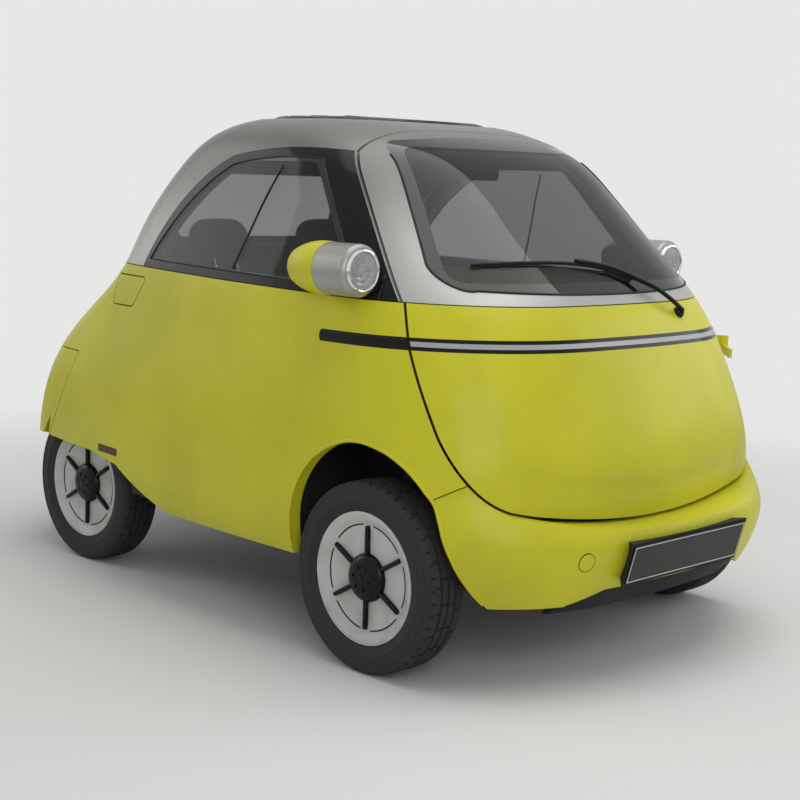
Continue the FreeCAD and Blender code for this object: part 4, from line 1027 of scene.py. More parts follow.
@dataclass
class Stage:
    """Floor, soft lamps and a pale surrounding.

    Args:
        lamps: name, place, aim, size and power of each, in metres and watts.
    """

    floor: float = 60.0
    pale: Colour = (0.80, 0.80, 0.79)
    sky: Colour = (0.95, 0.97, 1)
    sky_strength: float = 0.36
    lamps: tuple[tuple[str, Point, Point, float, float], ...] = (
        ("ceiling", (0.3, -0.8, 4.6), (0, 0, 0.4), 4.0, 100.0),
        ("front_right", (-4.2, -5.6, 3.2), (0, 0, 0.6), 3.4, 92.0),
        ("front_left", (4.6, -3.2, 2.6), (0, 0, 0.7), 3.0, 50.0),
        ("behind", (-2.6, 5.0, 3.2), (0, 0, 0.8), 3.0, 35.0),
    )

    def build(self) -> None:
        """Adds the floor, the lamps and the world."""
        floor = Bench.start("plane", "floor", (1000 * self.floor, 1000 * self.floor, 1000))
        floor.data.materials.append(Plain("pale_floor", self.pale).material())
        for name, place, aim, size, power in self.lamps:
            data = bpy.data.lights.new(name, "AREA")
            data.size = size
            data.energy = power
            lamp = bpy.data.objects.new(name, data)
            lamp.location = place
            lamp.rotation_euler = (Vector(aim) - Vector(place)).to_track_quat("-Z", "Y").to_euler()
            bpy.context.scene.collection.objects.link(lamp)
        world = bpy.data.worlds.new("pale_room")
        world.use_nodes = True
        graph = Graph(world.node_tree)
        path = seen = graph.node("ShaderNodeLightPath", {}, {}, "Is Camera Ray")
        for name in ("Is Glossy Ray", "Is Transmission Ray"):
            seen = graph.maths("MAXIMUM", seen, graph.also(path, name))
        soft, shown = (
            graph.node("ShaderNodeBackground", {}, {"Color": (*colour, 1), "Strength": strength})
            for colour, strength in ((self.sky, self.sky_strength), (self.pale, 1.0))
        )
        graph.end(graph.node("ShaderNodeMixShader", {}, {0: seen, 1: soft, 2: shown}), "World")
        bpy.context.scene.world = world
        bpy.context.scene.view_settings.view_transform = "Standard"


# Wheels


@dataclass
class Wheels:
    """Tyres with their tread, and the trim of the discs, modelled once about the origin and copied.

    Args:
        shoulder: the cuts of the shoulders lie between these distances from the middle, outside shoulder_out.
        ribs: the inner and outer ribs lie between these, outside crown.
        dome: profile of the hub's cover, whose hollows lie in hollow_ring, outside dome_face.
        arc: section of the dark arcs, black pieces that paint the shade of the disc's recess step.
        places: name, across and behind of each wheel.
    """

    outer: float = 262.0
    inner: float = 176.0
    half: float = 67.5
    grooves: tuple[float, ...] = (-26.0, 0.0, 26.0)
    groove_width: float = 7.0
    groove_depth: float = 6.5
    steps: int = 240
    sipe_pitch: int = 5
    sipe_depth: float = 3.4
    shoulder: Pair = (48.5, 60.5)
    shoulder_out: float = 253.0
    ribs: Line = ((5, 21), (31, 48.5))
    crown: float = 260.8
    spokes: int = 6
    dome: Line = (
        (-42.4, 0.01), (-66.0, 0.01), (-65.4, 10), (-63.4, 18), (-64.0, 22), (-62.8, 38), (-59.6, 50),
        (-54.5, 59), (-48.0, 64.5), (-41.0, 66.5), (-37.6, 66.5), (-37.6, 59), (-42.4, 54), (-42.4, 0.01),
    )
    dome_steps: int = 60
    dome_face: float = -55.0
    hollow_ring: Pair = (23, 37)
    hollow_steps: int = 3
    hollow_rim: float = 1.6
    hollow_depth: float = 3.0
    fin: tuple[Point, Point] = ((13.0, 15.0, 84.0), (-44.0, 0, 101.0))
    fin_taper: Point = (1, 0.7, 0.97)
    fin_round: float = 3.5
    arc: Line = ((-40.6, 142.0), (-41.9, 142.4), (-42.6, 146.0), (-41.4, 146.6), (-40.6, 142.0))
    places: tuple[tuple[str, float, float], ...] = (
        ("front_right", -655.0, -714.0),
        ("front_left", 655.0, -714.0),
        ("rear_right", -520.0, 804.0),
        ("rear_left", 520.0, 804.0),
    )

    @staticmethod
    def around_axle(face: bmesh.types.BMFace, steps: int) -> tuple[float, float, int]:
        """A face's place along the axle, its radius, and its number among equal steps of the turn."""
        middle = face.calc_center_median() * 1000
        turn = (math.atan2(middle.z, middle.y) + math.pi) / (2 * math.pi / steps)
        return middle.x, math.hypot(middle.y, middle.z), int(turn + 0.001)

    def profile(self) -> list[Pair]:
        """The tyre's section: sidewall rings, tread and carcass."""
        h, r, b = self.half, self.outer, self.inner
        wall = [
            (48.6, b), (55.0, b + 6), (58.5, b + 9), (59.5, b + 14), (61.2, b + 16), (62.4, b + 24),
            (h - 0.8, b + 32), (h, b + 33), (h, b + 38), (h - 0.6, b + 39.5), (h - 0.4, b + 52),
            (h - 1.2, r - 26), (h - 2.6, r - 24.5), (h - 2.8, r - 21), (h - 1.6, r - 19.5), (h - 4.6, r - 12),
            (h - 9.0, r - 5.5), (h - 14.0, r - 2.4), (h - 19.0, r - 1.0),
        ]
        tread = []
        edge, floor = self.groove_width / 2, r - self.groove_depth
        for c in self.grooves:
            tread += [(c - edge, r), (c - edge + 1, floor), (c + edge - 1, floor), (c + edge, r)]
        core = [(40.5, b + 10), (56.7, b + 34), (56.7, r - 30), (44.5, r - 13)]
        outer = [(-a, q) for a, q in wall] + tread + list(reversed(wall))
        return outer + core + [(-a, q) for a, q in reversed(core)] + [(-48.6, b)]

    def tyre(self) -> Piece:
        """The right tyre, with cuts across its shoulders and ribs."""
        piece = Bench.lathe("tyre", self.profile(), steps=self.steps)

        def slot(face: bmesh.types.BMFace) -> bool:
            """Whether a face is the floor of a cut."""
            x, radius, turn = self.around_axle(face, self.steps)
            if self.shoulder[0] < abs(x) < self.shoulder[1] and radius > self.shoulder_out:
                return turn % self.sipe_pitch == (0 if x > 0 else 2)
            inner, outer = (low < abs(x) < high for low, high in self.ribs)
            number = turn % (2 * self.sipe_pitch)
            return radius > self.crown and (inner and number == 3 or outer and number == 6)

        with Bench.editing(piece):
            Bench.pick(slot)
            Bench.sink(self.sipe_depth)
        return piece

    def arcs(self) -> Piece:
        """The dark arcs between the fins of the right disc: painted shade of the disc's recess step."""
        arc = Bench.lathe("disc_arcs", self.arc, steps=18, turn=45)
        with Bench.editing(arc, "EDGE"):
            Bench.mark("DESELECT")
            bpy.ops.mesh.select_non_manifold()
            bpy.ops.mesh.edge_face_add()
            Bench.tidy()
        middle = sum((v.co for v in arc.data.vertices), Vector()) / len(arc.data.vertices)
        turn = math.pi * 2 / self.spokes - math.atan2(middle.z, middle.y)
        arc.data.transform(Matrix.Rotation(turn, 4, "X"))
        return Bench.join(Bench.around(arc, self.spokes, ORIGIN, "X"))

    def cap(self) -> Piece:
        """The domed cover of the right hub with its small hollows and its fins."""
        dome = Bench.lathe("hub_dome", self.dome, steps=self.dome_steps)

        def hollow(face: bmesh.types.BMFace) -> bool:
            """Whether a face is the floor of one of the small hollows."""
            x, radius, turn = self.around_axle(face, self.dome_steps)
            ringed = x < self.dome_face and self.hollow_ring[0] < radius < self.hollow_ring[1]
            return ringed and turn % (self.dome_steps // self.spokes) < self.hollow_steps

        with Bench.editing(dome):
            Bench.pick(hollow)
            bpy.ops.mesh.inset(thickness=self.hollow_rim * 0.001)
            Bench.sink(self.hollow_depth)
        fin = Bench.start("cube", "fin", *self.fin)
        with Bench.editing(fin):
            Bench.pick(lambda face: face.normal.x < -0.5)
            bpy.ops.transform.resize(value=self.fin_taper)
        fins = Bench.around(Bench.bevel(fin, self.fin_round), self.spokes, ORIGIN, "X")
        return Bench.join([dome] + fins)

    def build(self) -> None:
        """Builds all four wheels' pieces."""
        patterns = (
            ("tread", self.tyre(), RUBBER, "tyre_rubber", 28, "tyre"),
            ("cap", self.cap(), BLACK, "black_gloss", 40, "hub_cap"),
            # The dark arcs are painted shade: the shadow of each disc's recess step, made as black pieces.
            ("disc_arcs", self.arcs(), TRIM, "dark_plastic", 40, None),
        )
        for corner, x, y in self.places:
            turn = Matrix.Rotation(math.pi if x > 0 else 0.0, 4, "Z")
            move = Matrix.Translation(mm(x, y, self.outer)) @ turn
            for name, pattern, finish, slot, angle, node in patterns:
                piece = Bench.copy(pattern, f"{name}_{corner}", move)
                nodes = [f"{node}_{corner}"] if node else []
                Bench.done(piece, finish, f"wheel_{corner}", slot, angle, nodes)
        for _, pattern, *_ in patterns:
            bpy.data.objects.remove(pattern)


# Windows


@dataclass
class Glazing:
    """Seals round the panes, and the upright edge of each side window's sliding half.

    Args:
        eye: the photograph's camera.
        upright: pixels along that edge.
    """

    eye: Eye
    seal: float = 3.6
    lip: float = 2.6
    edge: float = 3.2
    upright: Line = ((284, 165), (268, 193), (250, 232), (233, 269))

    def build(self) -> None:
        """Builds the seals."""
        front, back = Vector((0, -0.75, 0.65)).normalized(), Vector((0, 0.8, 0.6)).normalized()
        rings = [
            ("windscreen", "screen_seal", lambda f: f.normal.dot(front) > 0.25, self.seal, "front_door"),
            ("rear_glass", "rear_window_seal", lambda f: f.normal.dot(back) > 0.25, self.seal, "tailgate"),
        ]
        for side, name in SIDES:
            rings.append(("side_glass", f"side_seal_{name}", outer_faces(side, 0.35), self.lip, "root"))
        for node, name, test, radius, body in rings:
            Bench.done(Bench.rim(node, name, test, radius), SEAL, body, "dark_plastic", 60)
        line = self.eye.laid("side_glass", self.upright, 1.0)
        for side, name in ((1, "right"), (-1, "left")):
            points = [Vector((side * p.x, p.y, p.z)) for p in line]
            Bench.bar(f"window_edge_{name}", points, self.edge, SEAL, "root", "dark_plastic")


# Lamps


@dataclass
class Pods:
    """Round lamps in the pods, with their rings, optics, reflector cells and covers.

    Args:
        turned: name, finish and profile of each turned part.
    """

    x: float = 690.0
    front: float = -660.0
    z: float = 1078.0
    turned: tuple[tuple[str, Finish, Line], ...] = (
        (
            "bezel", CHROME,
            ((-1, 49), (-4, 50.5), (-5.4, 53.5), (-4, 57), (4, 58.6), (6, 55), (4, 49), (-1, 49)),
        ),
        ("ring", BULB, ((2, 39), (0.4, 41), (0.4, 47), (2, 48.8), (9, 48.8), (9, 39), (2, 39))),
        (
            "bowl", REFLECTOR,
            ((12.5, 0.01), (12.5, 14), (11, 22), (7, 31), (3.5, 37.5), (3.5, 39), (14, 39), (14.5, 0.01)),
        ),
        ("optic", BULB, ((12, 0.01), (0.5, 0.01), (1.6, 8), (4.6, 13), (9, 16), (12, 16.5), (12, 0.01))),
    )
    cover: Line = ((-0.2, 0.01), (0.6, 30), (2.4, 49), (3.6, 49), (1.8, 30), (1.0, 0.01))
    cells: int = 12
    cell_radius: float = 28.0

    def build(self) -> None:
        """Builds both lamps."""
        for side, name in SIDES:
            centre = (side * self.x, self.front, self.z)
            for part, finish, profile in self.turned:
                piece = Bench.lathe(f"lamp_{part}_{name}", profile, centre, REARWARD)
                Bench.done(piece, finish, "root", "lamp_glass", 30)
            at = (centre[0], self.front + 7.5, self.z + self.cell_radius)
            cell = Bench.bevel(Bench.block(f"lamp_cells_{name}", (9, 5, 7), at, (0, -1, 0), 1.3, 2.2), 0.5, 2)
            ring = Bench.join(Bench.around(cell, self.cells, centre, "Y"))
            Bench.done(ring, REFLECTOR, "root", "lamp_glass", 30)
        cover = Bench.lathe("lamp_covers", self.cover, (-self.x, self.front - 4, self.z), REARWARD)
        other = Bench.copy(cover, "cover_left", Matrix.Translation(mm(2 * self.x, 0, 0)))
        Bench.done(Bench.join([cover, other]), COVER, "root", "lamp_glass", 40, ["lamp_glasses"])


@dataclass
class LightBars:
    """The silvery line of the front bar, the line of the side strips, and the rear bar's lens."""

    front: Pair = (889.5, 902.0)
    strip: Pair = (905.0, 909.0)
    rear: Pair = (858.0, 874.0)
    lift: float = 0.2
    thick: float = 1.1

    def line(
        self, node: str, name: str, heights: Pair, body: str, test: Test, finish: Finish, slot: str
    ) -> None:
        """A thin raised line cut from the outer face of a bar.

        Args:
            node: the bar.
            name: name of the line.
            heights: its lower and upper edge.
            body: the body it rides on.
            test: says which faces are on the outside.
            finish: finish of the line.
            slot: the record's slot.
        """
        piece = Bench.from_node(node, name)
        with Bench.editing(piece):
            Bench.keep(test)
            for height, low in zip(heights, (True, False)):
                Bench.mark()
                bpy.ops.mesh.bisect(
                    plane_co=tuple(mm(0, 0, height)), plane_no=(0, 0, 1), clear_inner=low, clear_outer=not low
                )
            Bench.mark()
            bpy.ops.transform.shrink_fatten(value=self.lift * 0.001)
        Bench.modify(piece, "SOLIDIFY", thickness=self.thick * 0.001, offset=1.0)
        Bench.done(piece, finish, body, slot)

    def build(self) -> None:
        """Builds the lines."""

        def ahead(side: int) -> Test:
            """The front faces of one side of the bar, clear of its middle."""
            return lambda f: f.normal.y < -0.15 and f.calc_center_median().x * side > 0

        for side, name in SIDES:
            self.line(
                "front_light_bar", f"bar_line_{name}", self.front, "front_door", ahead(side),
                LIGHT, "lamp_glass",
            )
            self.line(
                "side_light_strips", f"strip_line_{name}", self.strip, "root", outer_faces(side, 0.3),
                TRIM, "dark_plastic",
            )
        self.line(
            "rear_light_bar", "rear_bar_line", self.rear, "tailgate", lambda f: f.normal.y > 0.15,
            RED, "red_lens",
        )


# Wiper


@dataclass
class Wiper:
    """The single wiper of the front door, laid on the glass along its line in the photograph."""

    eye: Eye
    blade: Line = (
        (470, 267), (500, 265.5), (530, 264.5), (560, 264.5), (590, 267), (612, 273), (630, 281),
    )
    arm: Line = ((573, 264.5), (600, 267.5), (630, 280))
    pivot: Point = (228.0, -1019.0, 962.0)
    boss: Line = ((-26, 0.01), (-26, 17), (-6, 19), (8, 17), (16, 13), (19, 7), (19.5, 0.01))
    boss_axis: Point = (0, -0.80, 0.60)

    def build(self) -> None:
        """Builds blade, arm and boss."""
        arm = self.eye.laid("windscreen", self.arm, 14.0)
        arm += [mm(*self.pivot) + mm(-70, -4, 62), mm(*self.pivot) + mm(0, -18, 10)]
        for name, line, radius, finish, slot in (
            ("wiper_rubber", self.eye.laid("windscreen", self.blade, 3.0), 2.4, SEAL, "dark_plastic"),
            ("wiper_blade", self.eye.laid("windscreen", self.blade, 8.5), 4.0, TRIM, "dark_plastic"),
            ("wiper_arm", arm, 6.5, BLACK, "black_gloss"),
        ):
            Bench.bar(name, line, radius, finish, "front_door", slot)
        boss = Bench.lathe("wiper_boss", self.boss, self.pivot, Vector(self.boss_axis), 32)
        Bench.done(boss, BLACK, "front_door", "black_gloss")


# Folding roof


@dataclass
class SoftRoof:
    """The cloth of the folding roof: one sheet, stretched over cross bows."""

    half: float = 352.0
    front: float = -238.0
    rear: float = 232.0
    bows: int = 5
    sag: float = 3.0
    lift: float = 1.2
    hem: float = 30.0
    inset: float = 2.5
    grid: tuple[int, int] = (100, 110)
    thick: float = 1.6
    seam: float = 2.2
    above: float = 1700.0

    @property
    def length(self) -> float:
        """Length of the sheet."""
        return self.rear - self.front

    def build(self) -> None:
        """Lays the sheet on the CAD panel's top."""
        middle = (self.front + self.rear) / 2
        size = (2 * self.half, self.length, 1000)
        cuts = {"x_subdivisions": self.grid[0], "y_subdivisions": self.grid[1]}
        sheet = Bench.start("grid", "roof_cloth", size, (0, middle, 0), **cuts)
        for vert in sheet.data.vertices:
            across, along = vert.co.x * 1000, vert.co.y * 1000
            edge = min(self.half - abs(across), along - self.front, self.rear - along)
            x = max(-0.998, min(0.998, across / self.half)) * (self.half - self.inset)
            found = shot("sunroof", mm(x, middle + (along - middle) * 0.99, self.above), DOWNWARD)
            share = (along - self.front) / self.length * self.bows
            hang = math.sin(math.pi * (share % 1.0)) ** 0.6 * self.sag
            top = found[0].z * 1000 if found else 1470.0
            vert.co.z = (top + self.lift - hang * min(1.0, max(0.0, edge / self.hem))) * 0.001
        Bench.modify(sheet, "SOLIDIFY", thickness=self.thick * 0.001, offset=-1.0)
        Bench.done(sheet, ROOF_CLOTH, "root", "roof_fabric", 60)
        self.bow_seams(sheet)

    def bow_seams(self, sheet: Piece) -> None:
        """Raised seams across the cloth over each bow."""
        for k in range(self.bows + 1):
            y = self.front + self.length * min(max(k / self.bows, 0.012), 0.988)
            points = []
            for i in range(-8, 9):
                x = self.half * 0.97 * i / 8
                found, top, _, _ = sheet.ray_cast(mm(x, y, self.above), DOWNWARD)
                points.append(top + mm(0, 0, 0.4) if found else mm(x, y, 1480))
            Bench.bar(f"roof_seam_{k}", points, self.seam, ROOF_CLOTH, "root", "roof_fabric")


# Seats


@dataclass(frozen=True)
class Pad:
    """One padded piece, measured upright, in millimetres.

    Args:
        name: name of the piece.
        size: size of its block.
        at: centre of the block.
        foot: the point it leans about.
        shape: depth of the sewn channels at a point of the block.
        push: direction in which the channels are pressed in.
        finish: finish of the cover.
        nodes: the CAD nodes that it stands for.
        round_by: radius of its edges.
        cap: the most that the cover swells.
        fill: how full it is; not used.
        lean: how far it leans back, in degrees.
        corner: radius of its outline's corners.
    """

    name: str
    size: Point
    at: Point
    foot: Point
    shape: Callable[[Vector], float]
    push: Vector
    finish: Finish
    nodes: tuple[str, ...]
    round_by: float
    cap: float
    fill: float = 0.7
    lean: float = 14.0
    corner: float = 0.0


@dataclass
class Seats:
    """The padded bench, its back and the headrests, swollen as filled covers.

    Args:
        seams: places of the long channels across the pads.
        bench_seams: depth and place of the channels that run across the bench, back_seams those of its back.
        bench_top: the channels are pressed in above this level, and in front of back_face.
        rest_at: place of a headrest across and behind, and its lift from the solid's middle.
        post: points of a headrest's post, behind and up.
    """

    voxel: float = 9.0
    pressure: float = 4.0
    frames: int = 20
    seams: tuple[float, ...] = (-400, -120, 120, 400)
    seam_depth: float = 7.0
    seam_width: float = 9.0
    middle_depth: float = 12.0
    middle_width: float = 14.0
    slack: Point = (16, 18, 16)
    bench_seams: Line = ((7, -40), (5, 150))
    bench_top: float = 560.0
    back_seams: Line = ((6, 760), (6, 890))
    back_face: float = 395.0
    back_size: Point = (1034, 74, 410)
    back_at: Point = (0, 396, 806)
    back_foot: Point = (0, 349, 598)
    rest_size: Point = (236, 56, 150)
    rest_at: Point = (235.0, 517.0, 8.0)
    rest_corner: float = 66.0
    posts: tuple[float, ...] = (-45, 45)
    post: Line = ((468, 985), (481, 1030), (493, 1060))

    def swell(self, piece: Piece, cap: float) -> None:
        """Turns a block into a filled cover.

        Args:
            piece: the block, slightly smaller than the pad.
            cap: the most that a point may move, in millimetres.
        """
        Bench.modify(piece, "REMESH", mode="VOXEL", voxel_size=self.voxel * 0.001)
        Bench.take(piece)
        cloth = piece.modifiers.new("Cover", "CLOTH")
        cloth.settings.use_pressure = True
        cloth.settings.uniform_pressure_force = self.pressure
        cloth.settings.effector_weights.gravity = 0
        cloth.settings.quality = 5
        cloth.point_cache.frame_end = self.frames
        scene = bpy.context.scene
        for number in range(1, self.frames + 1):
            scene.frame_set(number)
        state = piece.evaluated_get(bpy.context.evaluated_depsgraph_get()).data
        limit = cap * 0.001
        moved = []
        for vert, after in zip(piece.data.vertices, state.vertices):
            step = after.co - vert.co
            moved.append(vert.co + step * min(1.0, limit / max(step.length, 1e-9)))
        piece.modifiers.remove(cloth)
        for vert, place in zip(piece.data.vertices, moved):
            vert.co = place
        scene.frame_set(1)

    def make(self, pad: Pad) -> None:
        """Builds one padded piece."""
        piece = Bench.start("cube", pad.name, pad.size, pad.at)
        if pad.corner:
            with Bench.editing(piece, "EDGE"):
                Bench.pick(lambda e: abs((e.verts[0].co - e.verts[1].co).normalized().y) > 0.9, "edges")
                bpy.ops.mesh.bevel(offset=pad.corner * 0.001, segments=6)
        Bench.bevel(piece, pad.round_by, 4)
        self.swell(piece, pad.cap)
        Bench.modify(piece, "SUBSURF", levels=1, render_levels=1)
        for vert in piece.data.vertices:
            vert.co += pad.push * pad.shape(vert.co * 1000) * 0.001
        foot = Matrix.Translation(mm(*pad.foot))
        back = Matrix.Translation(-mm(*pad.foot))
        piece.data.transform(foot @ Matrix.Rotation(math.radians(-pad.lean), 4, "X") @ back)
        Bench.done(piece, pad.finish, "root", "seat_fabric", 60, pad.nodes)

    def channels(self, p: Vector, other: float, cross: Line) -> float:
        """Depth of the sewn channels at a point.

        Args:
            p: the point.
            other: its coordinate along the pad.
            cross: depth and place, along the pad, of each channel that runs across.

        Returns:
            The depth of the deepest there.
        """

        def dip(value: float, centre: float, width: float = self.seam_width) -> float:
            """A round hollow, 1 at its centre and 0 a few widths away."""
            return math.exp(-(((value - centre) / width) ** 2))

        depths = [self.middle_depth * dip(p.x, 0, self.middle_width)]
        depths += [self.seam_depth * dip(p.x, x) for x in self.seams]
        depths += [deep * dip(other, place) for deep, place in cross]
        return max(depths)

    def build(self) -> None:
        """Builds bench, back and headrests."""
        low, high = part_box("seat_cushion")
        middle = tuple((low + high) * 500)
        size = (high - low) * 1000
        self.make(Pad(
            "bench_cushion", tuple(size - Vector(self.slack)), middle, middle,
            lambda p: 0.0 if p.z < self.bench_top else self.channels(p, p.y, self.bench_seams),
            DOWNWARD, CLOTH, ("seat_cushion",), round_by=34, cap=9, lean=0,
        ))
        self.make(Pad(
            "bench_back", self.back_size, self.back_at, self.back_foot,
            lambda p: 0.0 if p.y > self.back_face else self.channels(p, p.z, self.back_seams),
            REARWARD, CLOTH_UP, ("seat_back",), round_by=30, cap=8,
        ))
        low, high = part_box("headrests")
        level = (low.z + high.z) * 500
        x, y, up = self.rest_at
        for side, name in SIDES:
            self.make(Pad(
                f"headrest_{name}", self.rest_size, (side * x, y, level + up), (0, y, level),
                lambda p: 0.0, REARWARD, CLOTH_UP, ("headrests",) if side < 0 else (),
                round_by=20, cap=6, fill=0.8, corner=self.rest_corner,
            ))
            for post in self.posts:
                points = [mm(side * x + post, *place) for place in self.post]
                Bench.bar(f"headrest_post_{name}_{post + 45}", points, 5.5, CHROME, "root", "alloy")


# Cabin


@dataclass
class Cabin:
    """What is seen through the windows: belts, display, mirror, mat, stalks and the wheel's pad.

    Args:
        belt: points of the left belt.
        stem: points of the mirror's stem.
        hub: centre of the steering wheel.
        lean: how far its column leans, in degrees.
        pad: profile of its padded boss.
        stalk: points of the left stalk from the column, across, behind and up.
    """

    belt: tuple[Point, ...] = (
        (500, 452, 1180), (470, 440, 1090), (430, 415, 1000), (350, 365, 850), (250, 330, 720),
        (120, 290, 640), (60, 250, 612),
    )
    belt_width: float = 46.0
    belt_thick: float = 1.6
    stem: tuple[Point, ...] = ((40, -398, 1370), (36, -388, 1400), (30, -366, 1424))
    hub: Point = (235, -452, 812)
    lean: float = 32.0
    pad: Line = ((14, 0.01), (-17, 0.01), (-16, 24), (-11, 41), (-3, 49), (8, 51), (14, 46), (14, 0.01))
    stalk: tuple[Point, ...] = ((18, 0, 0), (90, 0, 4), (145, 12, 12))

    def build(self) -> None:
        """Builds the cabin's pieces."""
        self.belts()
        self.display()
        self.mirror()
        self.mat()
        self.wheel()

    def belts(self) -> None:
        """Three-point belts with their buckles, hung at the rear pillars."""
        for side, name in SIDES:
            points = [mm(side * x, y, z) for x, y, z in self.belt]
            strap = self.strap(f"belt_{name}", points, self.belt_width, self.belt_thick)
            Bench.done(strap, WEBBING, "root", "seat_fabric", 60)
            buckle = Bench.block(f"buckle_{name}", (46, 26, 70), (side * 52, 245, 628), (0, 0, 1), 6, 5)
            Bench.done(Bench.bevel(buckle, 4), BLACK, "root", "dark_plastic")

    @staticmethod
    def strap(name: str, points: Sequence[Vector], width: float, thick: float) -> Piece:
        """A flat strap along points, its width across the car and its thickness in millimetres."""
        piece = Bench.start("plane", name, at=tuple(points[0] * 1000))
        with Bench.editing(piece, "VERT"):
            bpy.ops.mesh.merge(type="CENTER")
            bpy.ops.transform.translate(value=(-width * 0.0005, 0, 0))
            Bench.grow(mm(width, 0, 0))
            Bench.mark()
            bpy.ops.mesh.select_mode(type="EDGE")
            for here, there in zip(points, points[1:]):
                Bench.grow(there - here)
            Bench.tidy()
        Bench.modify(piece, "SUBSURF", levels=2, render_levels=2)
        Bench.modify(piece, "SOLIDIFY", thickness=thick * 0.001, offset=0.0)
        return piece

    def display(self) -> None:
        """The blank display on the bar behind the front door."""
        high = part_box("door_bar")[1] * 1000
        case = Bench.block("display_case", (250, 16, 96), (120, high.y - 26, high.z + 42), (0, 1, 0), 6, 2)
        Bench.done(Bench.bevel(case, 3), BLACK, "front_door", "black_gloss")
        glass = Bench.block("display_glass", (236, 3, 82), (120, high.y - 19.5, high.z + 42))
        Bench.done(Bench.bevel(glass, 1.2, 2), DISPLAY, "front_door", "black_gloss")

    def mirror(self) -> None:
        """The inner mirror under the roof's front edge."""
        shell = Bench.block("inner_mirror", (196, 30, 58), (40, -392, 1352), (0, 1, 0), 4, 2)
        with Bench.editing(shell):
            Bench.pick(lambda f: f.normal.y < -0.5)
            bpy.ops.transform.resize(value=(0.8, 1, 0.7))
        Bench.done(Bench.bevel(shell, 8, 4), TRIM, "root", "dark_plastic")
        Bench.bar("mirror_stem", [mm(*place) for place in self.stem], 6, TRIM, "root", "dark_plastic")

    def mat(self) -> None:
        """The floor mat with its raised border."""
        mat = Bench.block("floor_mat", (700, 360, 8), (0, -520, 319.5), (0, 0, 1), 18, 3)
        Bench.done(Bench.bevel(mat, 1.5, 2), CARPET, "root", "dark_plastic")

    def wheel(self) -> None:
        """The padded boss of the steering wheel, and the two stalks of its column."""
        lean = math.radians(self.lean)
        down = Vector((0, -math.cos(lean), -math.sin(lean)))
        Bench.done(Bench.lathe("wheel_pad", self.pad, self.hub, down), GRIP, "steering_wheel", "soft_grip")
        start = mm(*self.hub) + down * 0.062
        for side, name in SIDES:
            points = [start + mm(side * x, y, z) for x, y, z in self.stalk]
            Bench.bar(f"stalk_{name}", points, 5.5, TRIM, "root", "dark_plastic")


# Outside trim


@dataclass
class Ledge:
    """The painted ledge that closes the front bumper's top edge under the foot of the door."""

    half: float = 498.0
    lap: float = 4.0
    under: float = 26.0
    drop: float = 0.6
    thick: float = 3.0

    def edge(self, x: float) -> Vector:
        """The inner top edge of the bumper at one place across, in metres."""
        shots = (shot("front_bumper", mm(x, -1245 + 2.5 * step, 900), DOWNWARD) for step in range(90))
        found = [hit[0] for hit in shots if hit]
        high = max(point.z for point in found)
        return max((point for point in found if point.z > high - 0.006), key=lambda point: point.y)

    def span(self, x: float) -> tuple[Vector, float]:
        """The bumper's edge at one place across, and how far back the ledge reaches there."""
        start = self.edge(x) * 1000
        foot = shot("door_panel", mm(x, -1400, start.z + 18), REARWARD)
        deep = foot[0].y * 1000 + self.under if foot else start.y
        return start, max(deep, start.y + 4)

    def build(self) -> None:
        """Builds the ledge."""
        piece = Bench.start(
            "grid", "bumper_ledge", (2 * self.half, 2, 1000), x_subdivisions=80, y_subdivisions=2
        )
        spans: dict[int, tuple[Vector, float]] = {}
        for vert in piece.data.vertices:
            x = vert.co.x * 1000
            key = round(x * 10)
            if key not in spans:
                spans[key] = self.span(x)
            start, deep = spans[key]
            share = (vert.co.y * 1000 + 1) / 2
            y = (start.y - self.lap) * (1 - share) + deep * share
            vert.co = mm(x, y, start.z - self.drop)
        Bench.modify(piece, "SOLIDIFY", thickness=self.thick * 0.001, offset=-1.0)
        with Bench.editing(piece):
            Bench.tidy()
        Bench.done(piece, YELLOW, "root", "yellow_paint")


@dataclass
class ArchLips:
    """The rolled lips round the front wheel arches, laid along the edge that rays find."""

    centre: Pair = (-714.0, 262.0)
    reach: tuple[int, int] = (268, 460)
    turns: tuple[int, int] = (-8, 176)
    radius: float = 5.5
    inset: float = 4.0

    def edge(self, side: int, name: str, angle: float) -> Vector | None:
        """The outer skin's point just outside the arch's edge, in a direction from the wheel's centre."""
        for radius in range(*self.reach, 2):
            out = radius + self.inset
            y, z = self.centre[0] - out * math.cos(angle), self.centre[1] + out * math.sin(angle)
            for node in (f"side_panel_{name}", "front_bumper"):
                found = shot(node, mm(side * 1100, y, z), Vector((-side, 0, 0)))
                if found and abs(found[0].x) > 0.5 and found[1].x * side > 0.2:
                    return found[0] - found[1] * 0.0015
        return None

    def build(self) -> None:
        """Builds both lips."""
        for side, name in SIDES:
            found = (self.edge(side, name, math.radians(a)) for a in range(*self.turns, 4))
            points = [point for point in found if point]
            if len(points) < 8:
                raise ValueError(f"no arch edge found on the {name}")
            Bench.bar(f"arch_lip_{name}", points, self.radius, YELLOW, "root", "yellow_paint")


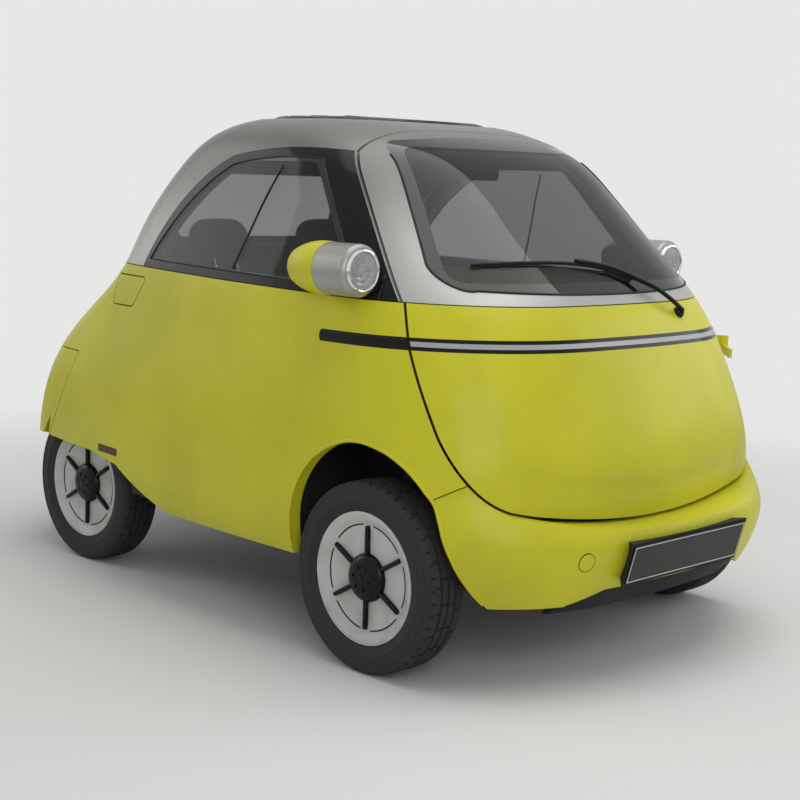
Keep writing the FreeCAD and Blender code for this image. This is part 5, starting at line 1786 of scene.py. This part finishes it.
@dataclass
class Trim:
    """Plate borders and holders, tow cover, reflectors and the tailgate's handle."""

    eye: Eye
    border_in: float = 4.0
    border: float = 2.6
    border_thick: float = 0.5
    rim: float = 5.0
    narrowed: Point = (0.90, 1, 0.74)
    behind: float = 1600.0
    handle_level: float = 790.0
    tow_pixel: Pair = (587, 563)
    tow: tuple[tuple[str, Finish, str, Line], ...] = (
        (
            "tow_cover", YELLOW, "yellow_paint",
            ((-3, 0.01), (-3, 24), (0.6, 24), (1.3, 23), (1.6, 20), (1.9, 0.01)),
        ),
        ("tow_ring", TRIM, "dark_plastic", ((-3, 24.4), (-3, 26), (0.35, 26), (0.35, 24.4), (-3, 24.4))),
    )
    reflector_at: Pair = (430, 560)
    reflector: Line = ((-4, 0.01), (-4, 27), (3, 27), (4.4, 25), (4.4, 21), (3.4, 20), (4.0, 0.01))

    def build(self) -> None:
        """Builds the trim."""
        for side, name in ((-1, "front"), (1, "rear")):
            self.plate(name, lambda f, s=side: f.normal.y * s > 0.6 and f.calc_center_median().y * s > 0)
        self.holders()
        self.tow_cover()
        self.reflectors()
        self.handle()

    def holders(self) -> None:
        """The plate holders: a thin rim that narrows towards the bumper behind it."""
        piece = Bench.from_node("plate_holders", "plate_frames")
        for side in (-1, 1):
            with Bench.editing(piece, "VERT"):
                faces = bmesh.from_edit_mesh(piece.data).faces
                ours = [face for face in faces if face.calc_center_median().y * side > 0]
                front = max(ours, key=lambda face: face.calc_area() * (face.normal.y * side > 0.5))
                middle, ahead = front.calc_center_median(), front.normal.copy()
                middle.x = 0
                Bench.pick(
                    lambda v: v.co.y * side > 0 and (middle - v.co).dot(ahead) > self.rim * 0.001, "verts"
                )
                bpy.ops.transform.resize(value=self.narrowed, center_override=tuple(middle))
        Bench.done(piece, TRIM, "root", "dark_plastic", 30, ["plate_holders"])

    def plate(self, name: str, test: Test) -> None:
        """The thin pale border line of one blank plate."""
        piece = Bench.from_node("number_plates", f"plate_border_{name}")
        with Bench.editing(piece):
            Bench.keep(test)
            Bench.mark()
            bpy.ops.mesh.dissolve_limited(angle_limit=0.02)
            Bench.mark()
            bpy.ops.mesh.inset(thickness=self.border_in * 0.001, use_boundary=True)
            Bench.mark("INVERT")
            bpy.ops.mesh.delete(type="FACE")
            Bench.mark()
            bpy.ops.mesh.inset(thickness=self.border * 0.001, use_boundary=True)
            bpy.ops.mesh.delete(type="FACE")
        Bench.modify(piece, "SOLIDIFY", thickness=self.border_thick * 0.001, offset=1.0)
        Bench.done(piece, PLATE_EDGE, "root", "plate_black")

    def tow_cover(self) -> None:
        """The round cover in the front bumper: a disc in a fine dark ring."""
        point, normal = self.eye.hit("front_bumper", *self.tow_pixel)
        for name, finish, slot, profile in self.tow:
            Bench.done(Bench.lathe(name, profile, tuple(point * 1000), normal), finish, "root", slot)

    def reflectors(self) -> None:
        """Two red reflectors in the rear bumper."""
        for side, name in SIDES:
            across, up = self.reflector_at
            point, normal = struck("rear_bumper", mm(side * across, self.behind, up), FORWARD)
            piece = Bench.lathe(f"reflector_{name}", self.reflector, tuple(point * 1000), normal, 40)
            Bench.done(piece, RED, "root", "red_lens", 30)

    def handle(self) -> None:
        """The tailgate's handle, a moulded recess plate."""
        point, normal = struck("tailgate_panel", mm(0, self.behind, self.handle_level), FORWARD)
        plate = Bench.block("handle_plate", (150, 10, 34), tuple(point * 1000 + normal), (0, 1, 0), 6, 4)
        Bench.done(Bench.bevel(plate, 3), BLACK, "tailgate", "black_gloss")


def dress() -> None:
    """Gives every CAD node the finish of its slot."""
    for part in frame["record"]["subparts"]:
        name = part["node"]
        node = frame["nodes"].get(name)
        if node is None:
            continue
        finish = NODE_FINISH.get(name) or SLOT_FINISH[part["material_slot"]]
        node.data.materials.clear()
        node.data.materials.append(finish.material())


def main() -> None:
    """Builds the scene, one sub-assembly after another."""
    logging.basicConfig(level=logging.INFO, format="%(name)s %(message)s")
    eye = Eye()
    eye.build()
    Stage().build()
    dress()
    assemblies = (
        Wheels(), Glazing(eye), Pods(), LightBars(), Wiper(eye), SoftRoof(), Seats(), Cabin(), Ledge(),
        ArchLips(), Trim(eye),
    )
    for assembly in assemblies:
        assembly.build()
        log.info("%s built", type(assembly).__name__)


if __name__ == "__main__":
    main()
